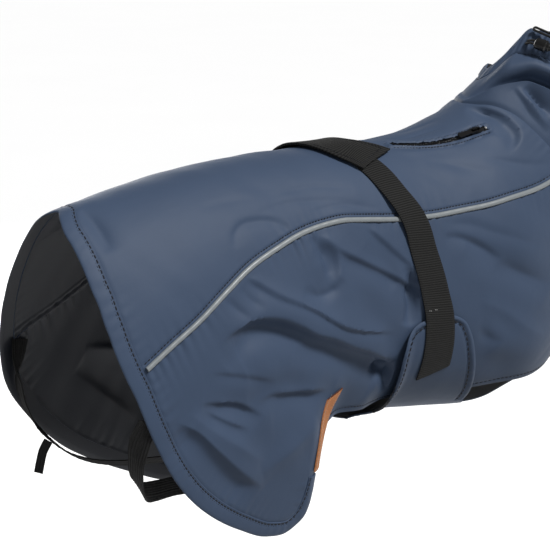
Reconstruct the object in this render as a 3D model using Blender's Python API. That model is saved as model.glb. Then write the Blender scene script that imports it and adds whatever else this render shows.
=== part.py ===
import math

import bmesh
import bpy
import numpy as np
from mathutils import Vector
from mathutils.geometry import delaunay_2d_cdt

# All sizes are in millimetres until the points are written out.
MM = 0.001

CLOTH = 1.6
SEAM_GAP = 0.3
BAND_WIDTH = 15.0
PIPING_WIDTH = 5.0
PIPING_HEIGHT = 2.0
WEBBING_WIDTH = 28.5
WEBBING_THICK = 1.4
TAB_WIDTH = 50.0
TAB_THICK = 2.0
LABEL_WIDTH = 16.0
LABEL_THICK = 1.2
ELASTIC_WIDTH = 18.0
ELASTIC_THICK = 1.2
PANEL_SPACING = 14.5
EDGE_SPACING = 12.0
COLLAR_COLUMNS = 44
CORD_RADIUS = 1.3
CORD_SPREAD = 3.6
ZIP_WIDTH = 7.0
EDGE_ROLL = 13.0

# The garment is laid on a general torso. A place on the cloth is "along", the
# distance forward from the rear of the back line, and "round", the distance
# from the back line round the body, negative on the dog's right side.
# along, x, z, lean, half_width, height, widest, top_power, low_power
SECTIONS = [
    (-12, -330, -34, 0, 91, 440, 0.42, 1.72, 2.3),
    (0, -318, -30, 0, 93, 440, 0.42, 1.75, 2.3),
    (60, -258, -17, 0, 98, 440, 0.42, 1.95, 2.3),
    (130, -188, -6, 0, 99, 438, 0.42, 2.1, 2.3),
    (200, -118, -1, 0, 98, 430, 0.42, 2.15, 2.3),
    (235, -83, 0, 0, 97, 415, 0.43, 2.2, 2.3),
    (262, -56, 0, 0, 96, 335, 0.48, 2.2, 2.2),
    (288, -30, 0, 0, 95, 292, 0.53, 2.2, 2.1),
    (318, 0, 0, 0, 95, 273, 0.55, 2.2, 2.1),
    (378, 60, -1, 3, 99, 274, 0.55, 2.1, 2.3),
    (418, 99, 3, 8, 104, 289, 0.52, 2.0, 2.6),
    (455, 136, 12, 13, 106, 306, 0.50, 1.95, 2.8),
    (492, 170, 26, 22, 90, 294, 0.50, 2.0, 2.4),
    (532, 205, 50, 41, 60, 180, 0.50, 1.8, 2.0),
    (572, 237, 79, 47, 51, 124, 0.50, 1.8, 2.0),
    (612, 266, 108, 47, 49, 114, 0.50, 1.8, 2.0),
]

# Rows of (along, distance from the back line).
HEM = [
    (13, 0), (9, 10), (5, 27), (6, 43), (7, 57), (8, 72), (9, 85), (11, 99), (12, 113),
    (14, 126), (16, 140), (19, 154), (23, 169), (28, 184), (33, 201), (39, 220),
    (50, 248), (66, 282), (82, 307), (104, 333), (137, 362), (172, 384), (198, 389),
    (215, 379), (225, 360), (230, 338),
]
# The left side hangs further back.
HEM_LEFT = [
    (13, 0), (9, 10), (5, 27), (4, 43), (2, 57), (0, 72), (-2, 85), (-4, 99), (-5, 113),
    (-6, 126), (-6, 140), (-6, 154), (-5, 169), (-3, 184), (0, 201), (6, 220), (20, 248),
    (42, 282), (62, 307), (90, 333), (130, 362), (170, 384), (198, 389), (215, 379),
    (225, 360), (230, 338),
]
LOWER_EDGE = [
    (230, 338), (235, 315), (239, 303), (246, 295), (259, 293), (280, 296), (310, 300),
    (345, 303), (380, 306), (407, 309), (427, 313), (447, 322), (462, 330), (474, 333),
    (485, 329), (494, 320),
]
PIPING = [
    (29.5, 168), (65, 159), (97, 148), (126, 134), (155, 120), (186, 110), (217, 102),
    (242, 99), (268, 99), (285, 101), (329, 107), (365, 108.5), (406, 111.5), (442, 117.5),
    (465, 121), (499, 128), (518.5, 133),
]
# fraction of the way round the neck, along
COLLAR_SEAM = [
    (0, 491.5), (0.03, 494.5), (0.08, 503.5), (0.154, 511.5), (0.25, 515.5), (0.36, 518),
    (0.5, 519), (0.75, 518.5), (1.0, 516),
]
# fraction round the neck (negative on the right), height of the collar along the neck
COLLAR_HEIGHT = [
    (-1, 78), (-0.8, 81), (-0.6, 84), (-0.35, 88), (-0.2, 90), (-0.1, 91), (-0.045, 95),
    (0, 66), (0.045, 55), (0.12, 53), (0.25, 54), (0.4, 59), (0.6, 67), (0.8, 74), (1, 78),
]
# share of the collar's height, distance off the neck
COLLAR_FORM = [
    (0, 0.0), (0.07, 3.0), (0.15, 7.0), (0.22, 9.5), (0.29, 8.5), (0.36, 3.0), (0.43, -0.3),
    (0.50, 2.0), (0.57, 6.0), (0.64, 5.5), (0.71, 2.5), (0.75, 2.0), (0.83, 5.0),
    (0.92, 5.0), (1.0, 2.5),
]
# along, distance from the lowest line under the body
CHEST_SIDE = [(516, 46), (505, 54), (494, 60)]
LEG_SIDE = [(494, 60), (487, 48), (476, 35), (458, 29), (438, 29), (423, 36), (414, 52)]
# along, distance from the back line
WING = [
    (409, 330), (406, 300), (400, 258), (395, 233), (388, 216), (378, 208), (366, 205),
    (353, 206), (341, 209), (332, 216), (325, 232), (324, 255), (326, 280), (328, 298),
    (328, 318), (324, 335), (317, 348),
]
BELLY_REAR = [(315, 10), (314, 0)]

# along, round
STRAP_RIGHT = [
    (364, -266), (363.5, -230), (360, -188), (350, -138), (343.5, -107), (336, -86),
    (327, -61), (316.5, -37), (305.5, -14), (298, 6), (295, 14),
]
STRAP_LEFT = [
    (366.5, 268), (365, 232), (359, 190), (342, 140), (326, 107), (317, 88), (303, 60),
    (298, 48),
]
TAB = [(334, -43.5), (322, -31), (309, -16), (301, 6), (299, 34), (304, 62), (313, 82)]
LABEL = [(249, -262), (243, -277), (237.5, -298), (233, -318), (230, -333)]
ZIP = [(372, -20), (401, -29.5), (424, -36), (447, -40.5), (465, -43), (480, -45.5)]

# x, distance from the middle plane, z
ELASTIC_RIGHT = [
    (-284, 89, -214), (-285, 84, -235), (-279, 76, -256), (-264, 62, -272), (-243, 48, -281),
    (-213, 38, -287), (-180, 38, -293), (-150, 48, -298), (-128, 62, -301),
]
ELASTIC_LEFT = [
    (-308, 84, -192), (-304, 84, -221), (-293, 82, -246), (-284, 72, -260), (-271, 58, -273),
    (-257, 45, -279), (-236, 34, -283), (-205, 29, -287), (-172, 33, -293), (-144, 46, -298),
    (-125, 61, -301),
]

# How far the face of each elastic turns down below the horizontal.
ELASTIC_LEAN = {-1: 0.0, 1: 1.3}
TAIL_TOP = (-283, 72, -259)

# Folds as soft ridges and troughs along an arc through three places:
# along_1, round_1, along_2, round_2, along_3, round_3, half_width, height
FOLDS = [
    (116, -182, 158, -163, 205, -184, 12, -7.0),
    (196, -180, 258, -213, 318, -247, 13, -7.0),
    (150, -137, 232, -180, 318, -214, 16, 5.0),
    (226, -116, 246, -134, 224, -157, 10, -4.0),
    (288, -122, 306, -146, 322, -168, 12, -4.0),
    (140, -234, 190, -238, 246, -258, 14, -5.0),
    (90, -224, 130, -236, 158, -256, 13, -3.5),
    (72, -236, 112, -278, 160, -326, 20, 4.0),
    (396, -148, 430, -180, 470, -232, 15, -4.5),
    (398, -240, 430, -262, 466, -300, 16, 4.0),
    (28, -10, 34, -36, 38, -64, 11, -4.0),
    (122, 176, 168, 160, 214, 186, 13, -6.5),
    (206, 186, 262, 214, 314, 240, 14, -6.0),
    (160, 138, 236, 176, 312, 210, 17, 4.5),
    (136, 240, 186, 246, 240, 262, 15, -4.5),
    (84, 232, 120, 268, 166, 322, 20, 4.0),
    (400, 150, 436, 186, 474, 236, 16, -4.5),
    (404, 246, 436, 272, 470, 306, 16, 3.5),
    (26, 12, 33, 38, 38, 66, 12, -3.5),
]

NAVY = (0.055, 0.085, 0.15)
BLACK = (0.018, 0.018, 0.019)


def hermite(rows, at, column=1):
    """Smooth value of one column of rows at the given first-column values."""
    table = np.asarray(rows, float)
    xs, ys = table[:, 0], table[:, column]
    slope = np.gradient(ys, xs)
    at = np.clip(np.asarray(at, float), xs[0], xs[-1])
    i = np.clip(np.searchsorted(xs, at) - 1, 0, len(xs) - 2)
    h = xs[i + 1] - xs[i]
    u = (at - xs[i]) / h
    return (
        (2 * u**3 - 3 * u**2 + 1) * ys[i]
        + (u**3 - 2 * u**2 + u) * h * slope[i]
        + (3 * u**2 - 2 * u**3) * ys[i + 1]
        + (u**3 - u**2) * h * slope[i + 1]
    )


def smooth_line(rows, spacing=EDGE_SPACING, count=None):
    """Even points on a smooth line through the rows."""
    points = np.asarray(rows, float)
    chord = np.linalg.norm(np.diff(points, axis=0), axis=1)
    knots = np.concatenate([[0], np.cumsum(chord)])
    fine = np.linspace(0, knots[-1], 16 * len(points))
    table = np.column_stack([knots, points])
    line = np.column_stack([hermite(table, fine, c) for c in range(1, points.shape[1] + 1)])
    run = np.concatenate([[0], np.cumsum(np.linalg.norm(np.diff(line, axis=0), axis=1))])
    count = count or max(2, int(round(run[-1] / spacing)) + 1)
    even = np.linspace(0, run[-1], count)
    return np.column_stack([np.interp(even, run, line[:, c]) for c in range(points.shape[1])])


def shifted(line, distance):
    """The line moved sideways in the cloth's plane, to its left for a positive distance."""
    step = np.gradient(line, axis=0)
    step /= np.linalg.norm(step, axis=1)[:, None]
    return line + distance * np.column_stack([-step[:, 1], step[:, 0]])


SECTION_CACHE = {}


def section(along):
    key = round(float(along), 3)
    if key not in SECTION_CACHE:
        x, z, lean, half, height, widest, top, low = [
            float(hermite(SECTIONS, key, c)) for c in range(1, 9)
        ]
        q = np.linspace(0, math.pi, 181)
        s, c = np.abs(np.sin(q)), np.abs(np.cos(q))
        upper = q <= math.pi / 2
        power = np.where(upper, 2 / top, 2 / low)
        out = half * s**power
        drop = np.where(
            upper,
            -widest * height * (1 - c**power),
            -widest * height - (1 - widest) * height * c**power,
        )
        out[-1] = 0.0
        run = np.concatenate([[0], np.cumsum(np.hypot(np.diff(out), np.diff(drop)))])
        SECTION_CACHE[key] = (x, z, math.radians(lean), out, drop, run)
    return SECTION_CACHE[key]


def half_round(along):
    return section(along)[5][-1]


def bare(along, around):
    """Points on the torso itself."""
    points = np.empty((len(along), 3))
    for i, (t, g) in enumerate(zip(along, around)):
        x, z, lean, out, drop, run = section(t)
        if abs(g) > run[-1]:
            g = -math.copysign(2 * run[-1] - abs(g), g)
        y = math.copysign(1, g) * np.interp(abs(g), run, out)
        h = np.interp(abs(g), run, drop)
        points[i] = (x - math.sin(lean) * h, y, z + math.cos(lean) * h)
    return points


def ramp(value, start, end):
    u = np.clip((np.asarray(value, float) - start) / (end - start), 0, 1)
    return u * u * (3 - 2 * u)


def fold_height(along, around):
    height = np.zeros(len(along))
    for t1, g1, t2, g2, t3, g3, width, rise in FOLDS:
        u = np.linspace(0, 1, 17)[:, None]
        arc = (
            (1 - u) * (1 - 2 * u) * np.array([[t1, g1]])
            + 4 * u * (1 - u) * np.array([[t2, g2]])
            + u * (2 * u - 1) * np.array([[t3, g3]])
        )
        away = np.hypot(
            np.asarray(along)[:, None] - arc[None, :, 0],
            np.asarray(around)[:, None] - arc[None, :, 1],
        )
        near = away.argmin(axis=1)
        fade = 0.3 + 0.7 * np.sin(math.pi * near / 16)
        height += rise * fade * np.exp(-((away.min(axis=1) / width) ** 2))
    # The front edge of each thigh flap rolls inwards.
    far = np.abs(np.asarray(around))
    roll = ramp(along, 214, 246) * ramp(far, 225, 290) * (1 - ramp(along, 262, 300))
    height -= EDGE_ROLL * roll
    # The stiff seams, the webbing and the doubled belly wings hold the cloth flat.
    by_piping = np.abs(far - hermite(PIPING, along)) * 0.93
    strap = np.array([(d, t) for t, d in [(p[0], abs(p[1])) for p in STRAP_RIGHT[:9]]][::-1])
    by_strap = np.abs(np.asarray(along) - hermite(strap, far))
    height *= ramp(by_piping, 5, 22) * (0.12 + 0.88 * ramp(by_strap, 20, 40))
    wing = ramp(far, 190, 215) * ramp(along, 296, 318) * (1 - ramp(along, 400, 420))
    return height * (1 - 0.92 * wing)


def laid(along, around, lift):
    """Points on the worn cloth, lifted off its inner face."""
    along, around = np.asarray(along, float), np.asarray(around, float)
    step = 1.5
    forward = bare(along + step, around) - bare(along - step, around)
    sideways = bare(along, around + step) - bare(along, around - step)
    normal = np.cross(forward, sideways)
    normal /= np.linalg.norm(normal, axis=1)[:, None]
    rise = fold_height(along, around) + lift
    return bare(along, around) + normal * rise[:, None]


def over(places, lift):
    """Places are (along, round)."""
    return laid(places[:, 0], places[:, 1], np.broadcast_to(lift, len(places)))


def under_round(places):
    """Round for places given as (along, distance from the lowest line, right positive)."""
    girth = np.array([half_round(t) for t in places[:, 0]])
    return np.where(places[:, 1] >= 0, places[:, 1] - girth, places[:, 1] + girth)


def under(places, lift):
    return laid(places[:, 0], under_round(places), np.broadcast_to(lift, len(places)))


def inside(points, loop):
    """Which of the points are inside the closed loop."""
    x, y = points[:, 0][:, None], points[:, 1][:, None]
    ax, ay = loop[:, 0][None], loop[:, 1][None]
    bx, by = np.roll(loop[:, 0], -1)[None], np.roll(loop[:, 1], -1)[None]
    crosses = (ay > y) != (by > y)
    with np.errstate(divide="ignore", invalid="ignore"):
        at = ax + (y - ay) * (bx - ax) / (by - ay)
    return (crosses & (x < at)).sum(axis=1) % 2 == 1


def off_loop(points, loop):
    a, b = loop, np.roll(loop, -1, axis=0)
    ab = b - a
    ap = points[:, None] - a[None]
    u = np.clip((ap * ab[None]).sum(2) / (ab**2).sum(1)[None], 0, 1)
    return np.linalg.norm(ap - u[..., None] * ab[None], axis=2).min(axis=1)


def filled(loop, spacing, holes=(), dense=None):
    """Triangles over a closed outline in the cloth's plane."""
    loops = [np.asarray(loop, float), *[np.asarray(hole, float) for hole in holes]]
    low, high = loops[0].min(axis=0), loops[0].max(axis=0)
    rows = np.arange(low[1] + spacing / 2, high[1], spacing * 0.866)
    grid = [
        (x, y)
        for k, y in enumerate(rows)
        for x in np.arange(low[0] + spacing * (0.25 + 0.5 * (k % 2)), high[0], spacing)
    ]
    grid = np.array(grid, float).reshape(-1, 2)
    keep = inside(grid, loops[0]) & (off_loop(grid, loops[0]) > 0.55 * spacing)
    for hole in loops[1:]:
        keep &= ~inside(grid, hole) & (off_loop(grid, hole) > 0.5 * spacing)
    grid = grid[keep]
    if dense is not None:
        x1, x2, y1, y2, step = dense
        inner = np.all([grid[:, 0] > x1, grid[:, 0] < x2, grid[:, 1] > y1, grid[:, 1] < y2], axis=0)
        fine = np.array([(x, y) for y in np.arange(y1, y2, step) for x in np.arange(x1, x2, step)])
        fine = fine[inside(fine, loops[0]) & (off_loop(fine, loops[0]) > 0.5 * step)]
        grid = np.concatenate([grid[~inner], fine])
    points, edges = [], []
    for ring in loops:
        start = len(points)
        points += [tuple(p) for p in ring]
        edges += [(start + i, start + (i + 1) % len(ring)) for i in range(len(ring))]
    points += [tuple(p) for p in grid]
    result = delaunay_2d_cdt([Vector(p) for p in points], edges, [], 0, 1e-6)
    flat = np.array([tuple(p) for p in result[0]])
    faces = np.array([f for f in result[2] if len(f) == 3])
    centre = flat[faces].mean(axis=1)
    keep = inside(centre, loops[0])
    for hole in loops[1:]:
        keep &= ~inside(centre, hole)
    faces = faces[keep]
    a, b, c = flat[faces[:, 0]], flat[faces[:, 1]], flat[faces[:, 2]]
    turn = (b - a)[:, 0] * (c - a)[:, 1] - (b - a)[:, 1] * (c - a)[:, 0]
    faces = faces[np.abs(turn) > 1e-4]
    turn = turn[np.abs(turn) > 1e-4]
    faces = np.where(turn[:, None] < 0, faces[:, ::-1], faces)
    used = np.unique(faces)
    remap = np.full(len(flat), -1)
    remap[used] = np.arange(len(used))
    return flat[used], remap[faces]


def material(name, colour, roughness, metallic=0.0):
    made = bpy.data.materials.new(name)
    made.use_nodes = True
    shader = made.node_tree.nodes["Principled BSDF"]
    shader.inputs["Base Color"].default_value = (*colour, 1)
    shader.inputs["Roughness"].default_value = roughness
    shader.inputs["Metallic"].default_value = metallic
    made.diffuse_color = (*colour, 1)
    return made


def add(name, points, faces, colour, roughness, metallic=0.0):
    mesh = bpy.data.meshes.new(name)
    mesh.from_pydata([tuple(p) for p in np.asarray(points) * MM], [], [tuple(f) for f in faces])
    mesh.update()
    made = bpy.data.objects.new(name, mesh)
    bpy.context.scene.collection.objects.link(made)
    mesh.materials.append(material(name + "_surface", colour, roughness, metallic))
    work = bmesh.new()
    work.from_mesh(mesh)
    bmesh.ops.recalc_face_normals(work, faces=work.faces)
    work.to_mesh(mesh)
    work.free()
    return made


def sheet(outer, inner, faces):
    """A closed wall between two copies of the same triangles."""
    count = len(outer)
    faces = [tuple(int(i) for i in f) for f in faces]
    edges = {}
    for f in faces:
        for a, b in zip(f, f[1:] + f[:1]):
            edges[(a, b)] = True
    rim = [(a, b) for a, b in edges if (b, a) not in edges]
    walls = [(b, a, a + count, b + count) for a, b in rim]
    back = [tuple(i + count for i in reversed(f)) for f in faces]
    return np.vstack([outer, inner]), faces + back + walls


def panel(name, loop, holes, place, low, high, spacing=PANEL_SPACING, dense=None):
    flat, faces = filled(loop, spacing, holes, dense)
    low = low(flat) if callable(low) else low
    points, faces = sheet(place(flat, low + high), place(flat, low), faces)
    return add(name, points, faces, NAVY, 0.45)


def grid_faces(rows, columns, closed=False):
    faces = []
    for i in range(rows - 1):
        for j in range(columns if closed else columns - 1):
            k = (j + 1) % columns
            a, b, c, d = i * columns + j, i * columns + k, (i + 1) * columns + k, (i + 1) * columns + j
            faces += [(a, b, c), (a, c, d)] if (i + j) % 2 else [(a, b, d), (b, c, d)]
    return faces


def strip(name, rows, half_width, thick, lift, colour, roughness, spacing=9.0, columns=3,
          skew=(0.0, 0.0)):
    """A flat band laid along a line of (along, round) places."""
    line = smooth_line(rows, spacing)
    step = np.gradient(line, axis=0)
    step /= np.linalg.norm(step, axis=1)[:, None]
    side = np.column_stack([-step[:, 1], step[:, 0]])
    fade = np.linspace(0, 1, len(line))
    lean = skew[0] * np.clip(1 - fade * 5, 0, 1) + skew[1] * np.clip(1 - (1 - fade) * 5, 0, 1)
    places = np.concatenate(
        [
            (p + s * w + d * k * w)[None]
            for p, s, d, k in zip(line, side, step, lean)
            for w in np.linspace(-half_width, half_width, columns)
        ]
    )
    low = lift(places) if callable(lift) else lift
    faces = grid_faces(len(line), columns)
    points, faces = sheet(over(places, low + thick), over(places, low), faces)
    return add(name, points, faces, colour, roughness)


def band_in_space(name, centres, widths, normals, half_width, thick, colour, roughness):
    """A flat band through free points: widths and normals are unit directions."""
    outer, inner = [], []
    for p, w, n in zip(centres, widths, normals):
        for k in (-1, 0, 1):
            outer.append(p + w * half_width * k + n * thick / 2)
            inner.append(p + w * half_width * k - n * thick / 2)
    faces = grid_faces(len(centres), 3)
    points, faces = sheet(np.array(outer), np.array(inner), faces)
    return add(name, points, faces, colour, roughness)


def hem_rows():
    right = np.asarray(HEM, float)[::-1] * (1, -1)
    return np.concatenate([right, HEM_LEFT[1:]])


def mirror(rows, side):
    rows = np.asarray(rows, float)
    return np.column_stack([rows[:, 0], rows[:, 1] * side])


# Shared lines ---------------------------------------------------------------
hem_outer = smooth_line(hem_rows(), EDGE_SPACING)
hem_inner = shifted(hem_outer, -BAND_WIDTH)
piping_start = {
    side: int(np.argmin(np.abs(hem_inner[:, 1] - side * PIPING[0][1]))) for side in (-1, 1)
}


def piping_line(side):
    rows = mirror(PIPING, side)
    rows[0] = hem_inner[piping_start[side]]
    return smooth_line(rows, EDGE_SPACING)


def collar_seam(fractions):
    """Seam places for fractions round the neck, from -1 to 1."""
    along = hermite(COLLAR_SEAM, np.abs(fractions))
    girth = np.array([half_round(t) for t in along])
    return np.column_stack([along, np.asarray(fractions) * girth])


def seam_fraction(distance):
    """The fraction round the neck at which the seam is that far from the back line."""
    test = np.linspace(0, 1, 400)
    return float(np.interp(distance, collar_seam(test)[:, 1], test))


piping = {side: piping_line(side) for side in (-1, 1)}
piping_end = seam_fraction(PIPING[-1][1])
for side in (-1, 1):
    piping[side][-1] = collar_seam([side * piping_end])[0]
chest_girth = half_round(CHEST_SIDE[0][0])
chest_fraction = seam_fraction(chest_girth - CHEST_SIDE[0][1])


def zip_loop(half_width, grow):
    line = smooth_line(ZIP, 9.0)
    line[0] += grow * (line[0] - line[1]) / np.linalg.norm(line[0] - line[1])
    line[-1] += grow * (line[-1] - line[-2]) / np.linalg.norm(line[-1] - line[-2])
    return np.concatenate([shifted(line, half_width), shifted(line, -half_width)[::-1]])


def seam_samples():
    """Fractions round the neck at which the collar and the panels share their points."""
    even = np.linspace(-1, 1, COLLAR_COLUMNS + 1)
    fixed = np.array([-chest_fraction, -piping_end, piping_end, chest_fraction])
    clear = np.abs(even[:, None] - fixed[None]).min(axis=1) > 0.35 * (even[1] - even[0])
    return np.sort(np.concatenate([even[clear], fixed]))


def along_seam(start, end, trim=0.0):
    """Shared seam places from one fraction to another, a seam gap behind the collar."""
    low, high = min(start, end), max(start, end)
    fractions = seam_fractions[(seam_fractions > low - 1e-6) & (seam_fractions < high + 1e-6)].copy()
    fractions[0] += trim
    fractions[-1] -= trim
    places = collar_seam(fractions if start < end else fractions[::-1])
    places[:, 0] -= SEAM_GAP
    return places


seam_fractions = seam_samples()


def rear_corner(rear, index, way):
    """A panel's corner beside the piping, half a seam gap along the rear line."""
    toward = rear[index + way] - rear[index]
    return (rear[index] + SEAM_GAP * 0.55 * toward / np.linalg.norm(toward))[None]


def cloth_panels():
    gap = SEAM_GAP / 2
    rear = shifted(hem_outer, -BAND_WIDTH - SEAM_GAP)
    low, high = piping_start[-1], piping_start[1]
    right = shifted(piping[-1], gap)
    left = shifted(piping[1], -gap)
    front = along_seam(piping_end, -piping_end, 0.0006)
    loop = np.concatenate([
        rear_corner(rear, low, 1), rear[low + 1 : high], rear_corner(rear, high, -1),
        left[1:-1], front, right[::-1][1:-1],
    ])
    panel("back_panel", loop, [zip_loop(ZIP_WIDTH / 2 + SEAM_GAP, 0.6)], over, 0.0, CLOTH)
    for side, name in ((-1, "flank_right"), (1, "flank_left")):
        top = shifted(piping[side], side * gap)[1:-1]
        seam = along_seam(side * piping_end, side * chest_fraction, 0.0006)
        chest = smooth_line(CHEST_SIDE, EDGE_SPACING)
        girth = np.array([half_round(t) for t in chest[:, 0]])
        chest = np.column_stack([chest[:, 0], side * (girth - chest[:, 1] - gap)])[1:]
        edge = mirror(smooth_line(LOWER_EDGE, EDGE_SPACING), side)[::-1][1:-1]
        if side > 0:
            hem = np.concatenate([rear[high + 1 :][::-1], rear_corner(rear, high, 1)])
        else:
            hem = np.concatenate([rear[:low], rear_corner(rear, low, -1)])
        loop = np.concatenate([top, seam, chest, edge, hem])
        dense = (212, 262, *sorted((side * 232, side * 340)), 7.0)
        panel(name, loop, [], over, 0.0, CLOTH, dense=dense)


def chest_piece():
    gap = SEAM_GAP / 2
    chest = smooth_line(CHEST_SIDE, EDGE_SPACING)[:-1] - np.array([0.0, gap])
    leg = smooth_line(LEG_SIDE, EDGE_SPACING)[:-1]
    wing = np.array([(t, half_round(t) - d) for t, d in smooth_line(WING, 9.0)])
    wing_rear = smooth_line([tuple(wing[-1]), *BELLY_REAR], EDGE_SPACING)[1:]
    right = np.concatenate([chest, leg, wing, wing_rear])
    left = np.column_stack([right[:, 0], -right[:, 1]])[::-1][1:]
    seam = along_seam(chest_fraction, 1.0)
    seam[0] = collar_seam([chest_fraction + 0.0006])[0] - (SEAM_GAP, 0)
    apart = np.array([half_round(t) - d for t, d in seam])
    apart[-1] = 0.0
    front_left = np.column_stack([seam[:, 0], -apart])
    front = np.concatenate([front_left, np.column_stack([seam[:, 0], apart])[::-1][1:]])
    loop = np.concatenate([right[1:], left[:-1], front])

    def low(places):
        rear = 3.0 * (1 - ramp(places[:, 0], 425, 470))
        away = half_round(360) - np.abs(places[:, 1])
        stand = 5.0 * (1 - ramp(places[:, 0], 326, 341)) * ramp(away, 206, 240)
        return rear + stand * (1 - ramp(away, 300, 350))

    panel("chest_piece", loop, [], under, low, CLOTH, 11.5)


def hem_band():
    columns = [hem_outer, shifted(hem_outer, -BAND_WIDTH / 2), shifted(hem_outer, -BAND_WIDTH)]
    places = np.stack(columns, axis=1).reshape(-1, 2)
    faces = grid_faces(len(hem_outer), 3)
    points, faces = sheet(over(places, CLOTH + 0.3), over(places, 0.0), faces)
    add("hem_band", points, faces, NAVY, 0.45)


def collar():
    shares = np.array([row[0] for row in COLLAR_FORM])
    fractions = seam_fractions[:-1]
    seam = collar_seam(fractions)
    rise = hermite(COLLAR_HEIGHT, fractions)
    places, lifts = [], []
    for share in shares:
        along = seam[:, 0] + share * rise
        girth = np.array([half_round(t) for t in along])
        slack = 0.35 + 0.65 * ramp(-fractions, 0.0, 0.14) + 0.4 * ramp(fractions, 0.3, 0.8)
        places.append(np.column_stack([along, fractions * girth]))
        lifts.append(np.full(len(fractions), float(hermite(COLLAR_FORM, share))) * slack)
    places, lifts = np.concatenate(places), np.concatenate(lifts)
    faces = grid_faces(len(shares), len(fractions), closed=True)
    points, faces = sheet(over(places, lifts + CLOTH), over(places, lifts), faces)
    add("collar", points, faces, NAVY, 0.45)


def reflective_piping():
    for side, name in ((-1, "piping_right"), (1, "piping_left")):
        line = smooth_line(piping[side][1:-1], 8.0)
        rows = [(-0.5, 0.0), (-0.42, 0.7), (0.0, 1.0), (0.42, 0.7), (0.5, 0.0)]
        points = [
            over(shifted(line, offset * PIPING_WIDTH), CLOTH + 0.35 + share * PIPING_HEIGHT)
            for offset, share in rows
        ]
        points = np.stack(points, axis=1).reshape(-1, 3)
        count = len(rows)
        faces = grid_faces(len(line), count, closed=True)
        faces += [tuple(range(count)), tuple(range((len(line) - 1) * count, len(line) * count))[::-1]]
        add(name, points, faces, (0.42, 0.45, 0.47), 0.35)


def strap_lift(places):
    far = np.abs(places[:, 1])
    by_piping = np.abs(far - hermite(PIPING, places[:, 0]))
    raised = np.maximum(1 - ramp(by_piping, 5, 20), ramp(far, 188, 204))
    return 2.1 + 3.3 * raised


def belt():
    half = WEBBING_WIDTH / 2
    strip("belt_strap_right", STRAP_RIGHT, half, WEBBING_THICK, strap_lift, BLACK, 0.8,
          skew=(-0.36, 0.0))
    strip("belt_strap_left", STRAP_LEFT, half, WEBBING_THICK, strap_lift, BLACK, 0.8,
          skew=(0.36, 0.0))

    def tab_lift(places):
        return np.maximum(strap_lift(places), 2.1) + WEBBING_THICK + 0.9

    strip("belt_tab", TAB, TAB_WIDTH / 2, TAB_THICK, tab_lift, BLACK, 0.85, columns=5,
          skew=(0.38, 0.0))


def label():
    strip("label_strip", LABEL, LABEL_WIDTH / 2, LABEL_THICK, CLOTH + 0.9, (0.6, 0.16, 0.06), 0.6,
          spacing=7.0, skew=(0.0, 0.0))


def leg_elastics():
    for side, name, rows, seat in (
        (-1, "leg_elastic_right", ELASTIC_RIGHT, (40.0, 212.0, -1.0)),
        (1, "leg_elastic_left", ELASTIC_LEFT, (16.0, 172.0, -1.3)),
    ):
        seats = np.array([(seat[0], side * seat[1]), (208.0, side * 350.0)])
        start, end = over(seats, seat[2])
        faces_out = over(seats, 1.0) - over(seats, 0.0)
        rows = [tuple(start), *[(x, side * y, z) for x, y, z in rows], tuple(end)]
        line = smooth_line(rows, 10.0)
        step = np.gradient(line, axis=0)
        step /= np.linalg.norm(step, axis=1)[:, None]
        out = line - np.array([-205.0, side * 66.0, 0.0])
        out[:, 2] = 0.0
        out /= np.linalg.norm(out, axis=1)[:, None]
        out[:, 2] = -ELASTIC_LEAN[side]
        count = np.arange(len(line))[:, None]
        first, last = np.clip(1 - count / 4, 0, 1), np.clip(1 - (len(line) - 1 - count) / 4, 0, 1)
        out = out * (1 - first - last) + first * faces_out[0] + last * faces_out[1]
        out -= (out * step).sum(1)[:, None] * step
        out /= np.linalg.norm(out, axis=1)[:, None]
        width = np.cross(step, out)
        band_in_space(name, line, width, out, ELASTIC_WIDTH / 2, ELASTIC_THICK, BLACK, 0.9)
    return line, out


# Zip hardware ---------------------------------------------------------------
def zip_frame(share):
    """Origin, forward, sideways and outward directions on the zip line."""
    line = smooth_line(ZIP, 1.0)
    at = line[int(share * (len(line) - 1))]
    ahead = line[min(int(share * (len(line) - 1)) + 6, len(line) - 1)]
    behind = line[max(int(share * (len(line) - 1)) - 6, 0)]
    here, front, back = over(np.array([at, ahead, behind]), 0.0)
    aside = over(np.array([at + (0, 2), at - (0, 2)]), 0.0)
    forward = (front - back) / np.linalg.norm(front - back)
    out = np.cross(forward, aside[0] - aside[1])
    out /= np.linalg.norm(out)
    return here, forward, np.cross(out, forward), out


def in_frame(frame, points):
    here, forward, sideways, out = frame
    points = np.asarray(points, float)
    return here + points[:, :1] * forward + points[:, 1:2] * sideways + points[:, 2:] * out


def prism(outline, low, high):
    """A flat plate from an outline of (forward, sideways)."""
    count = len(outline)
    points = [(x, y, low) for x, y in outline] + [(x, y, high) for x, y in outline]
    faces = [tuple(range(count))[::-1], tuple(range(count, 2 * count))]
    faces += [(i, (i + 1) % count, (i + 1) % count + count, i + count) for i in range(count)]
    return np.array(points, float), faces


def slider_outline():
    return [(-6, -2.4), (-6, 2.4), (-1, 3.4), (4.5, 3.9), (6, 2.6), (6, -2.6), (4.5, -3.9), (-1, -3.4)]


ZIP_BASE = 1.4
SLIDER_TOP = 4.0
PIVOT_HEIGHT = 5.2
PULL_LENGTH = 22.0


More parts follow.
